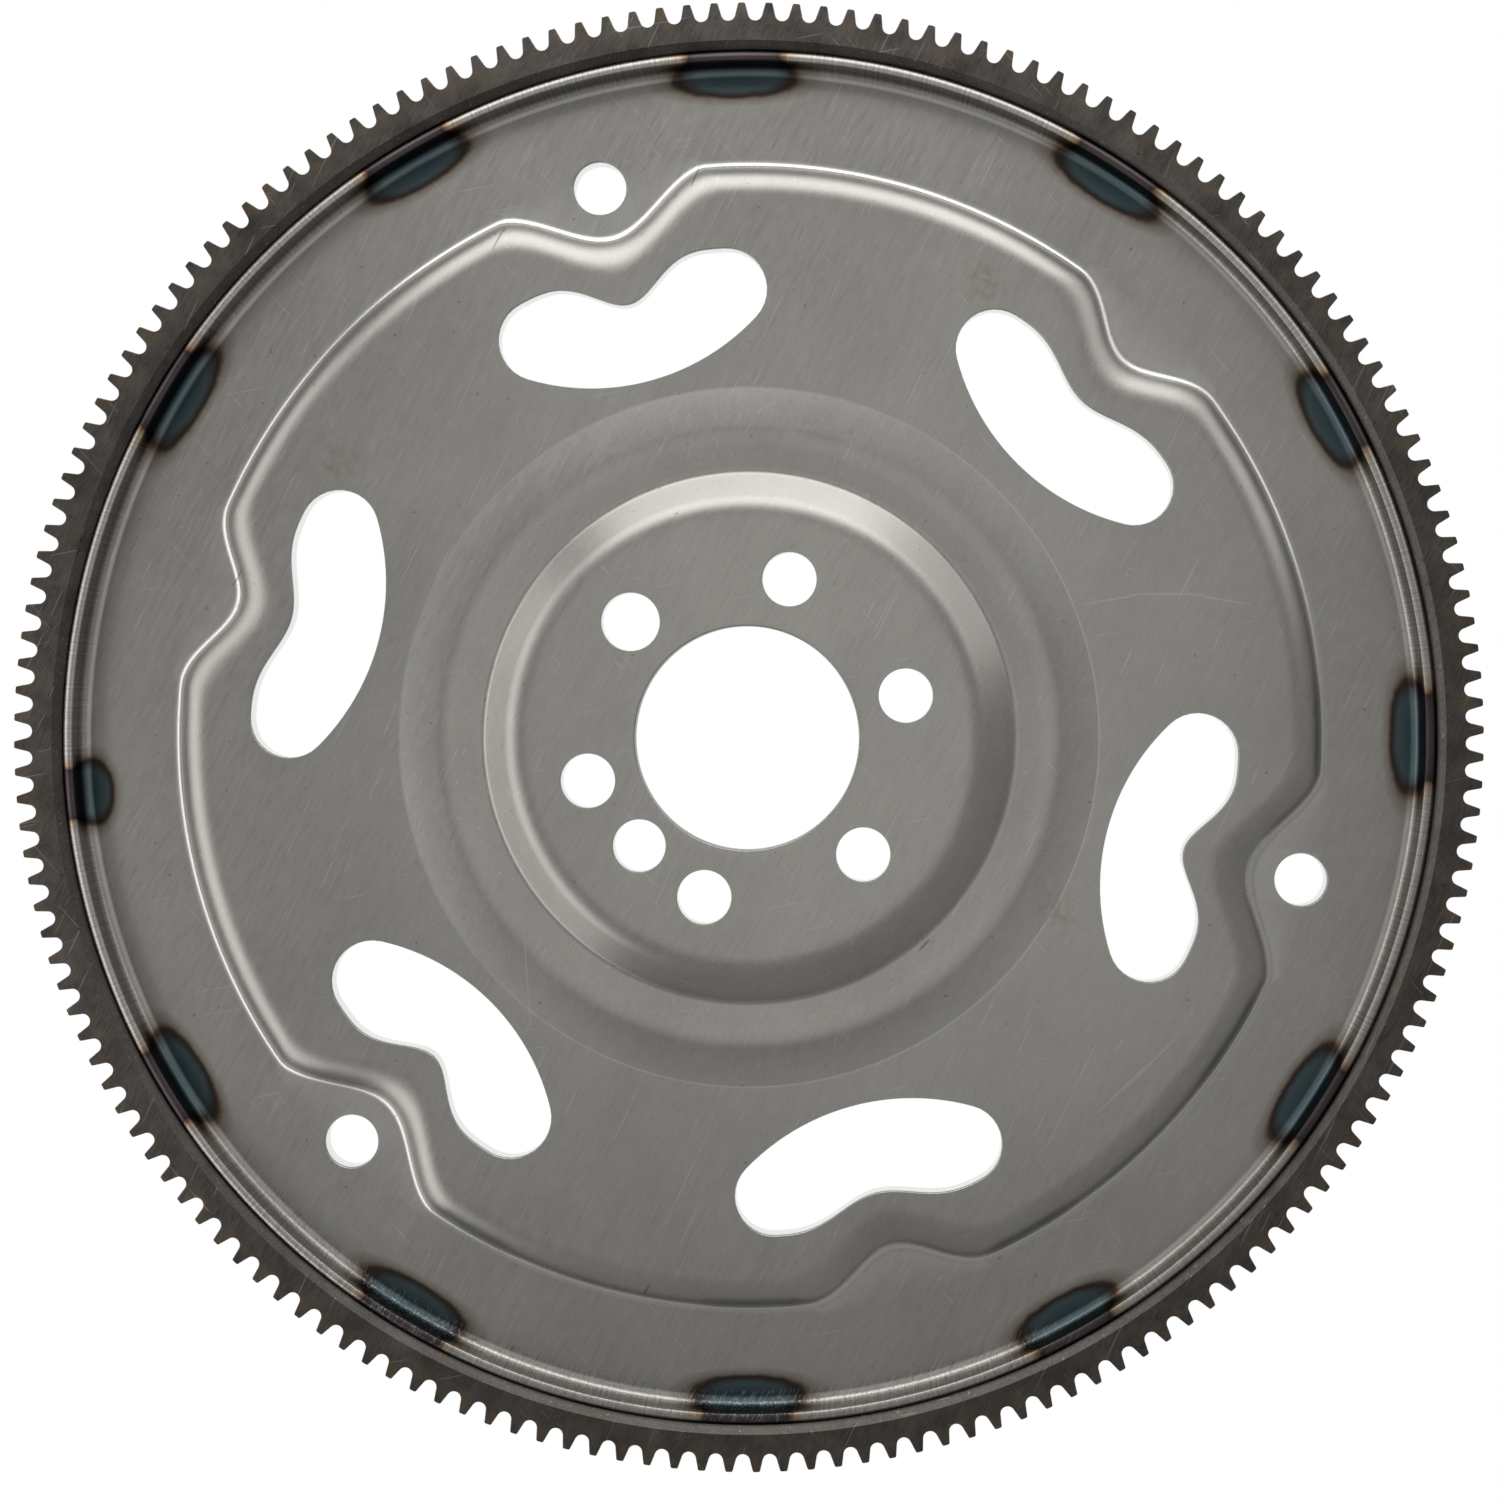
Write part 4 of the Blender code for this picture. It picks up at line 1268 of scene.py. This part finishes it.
def add_light(name, power, size, azimuth, from_vertical, distance):
    """A soft rectangular light that faces the plate's middle."""
    lamp = bpy.data.lights.new(name, "AREA")
    lamp.shape = "RECTANGLE"
    lamp.size = size[0]
    lamp.size_y = size[1]
    lamp.energy = power
    light = bpy.data.objects.new(name, lamp)
    bpy.context.scene.collection.objects.link(light)
    lean = math.radians(from_vertical)
    light.location = polar(distance * math.sin(lean), azimuth, distance * math.cos(lean))
    light.rotation_euler = light.location.to_track_quat("Z", "Y").to_euler()


def make_camera(stage):
    """A camera that looks straight down, shifted so that the axis stands where the frame has it."""
    camera = bpy.data.cameras.new("Camera")
    camera.sensor_width = SENSOR_WIDTH
    camera.lens = SENSOR_WIDTH * stage.camera_height * stage.scale / FRAME_PIXELS
    axis_x = FRAME_PIXELS / 2 - stage.camera_place[0] * stage.scale
    axis_y = FRAME_PIXELS / 2 + stage.camera_place[1] * stage.scale
    camera.shift_x = (axis_x - stage.centre[0]) / FRAME_PIXELS
    camera.shift_y = (stage.centre[1] - axis_y) / FRAME_PIXELS
    viewer = bpy.data.objects.new("Camera", camera)
    viewer.location = (*stage.camera_place, RING_WIDTH + stage.camera_height)
    bpy.context.scene.collection.objects.link(viewer)
    bpy.context.scene.camera = viewer


# Panel and registration

class FLEXPLATE_PT_panel(bpy.types.Panel):
    bl_idname = "FLEXPLATE_PT_panel"
    bl_label = "Flexplate"
    bl_space_type = "VIEW_3D"
    bl_region_type = "UI"
    bl_category = "Flexplate"

    def draw(self, context):
        layout = self.layout
        scene = context.scene
        for title, settings, names, buttons in (
                ("Sizes", scene.flexplate_sizes, FlexplateSizes.__annotations__,
                 ("flexplate.disc", "flexplate.ring", "flexplate.welds")),
                ("Finish", scene.flexplate_finish, FlexplateFinish.__annotations__, ()),
                ("Stage", scene.flexplate_stage, FlexplateStage.__annotations__, ("flexplate.stage",))):
            box = layout.box()
            box.label(text=title)
            for name in names:
                box.prop(settings, name)
            for button in buttons:
                box.operator(button)


CLASSES = (FlexplateSizes, FlexplateFinish, FlexplateStage, FLEXPLATE_OT_disc, FLEXPLATE_OT_ring,
           FLEXPLATE_OT_welds, FLEXPLATE_OT_stage, FLEXPLATE_PT_panel)


def register():
    for cls in CLASSES:
        bpy.utils.register_class(cls)
    bpy.types.Scene.flexplate_sizes = PointerProperty(type=FlexplateSizes)
    bpy.types.Scene.flexplate_finish = PointerProperty(type=FlexplateFinish)
    bpy.types.Scene.flexplate_stage = PointerProperty(type=FlexplateStage)


def unregister():
    del bpy.types.Scene.flexplate_stage
    del bpy.types.Scene.flexplate_finish
    del bpy.types.Scene.flexplate_sizes
    for cls in reversed(CLASSES):
        bpy.utils.unregister_class(cls)


def main():
    register()
    bpy.ops.flexplate.disc()
    bpy.ops.flexplate.ring()
    bpy.ops.flexplate.welds()
    bpy.ops.flexplate.stage()


if __name__ == "__main__":
    main()
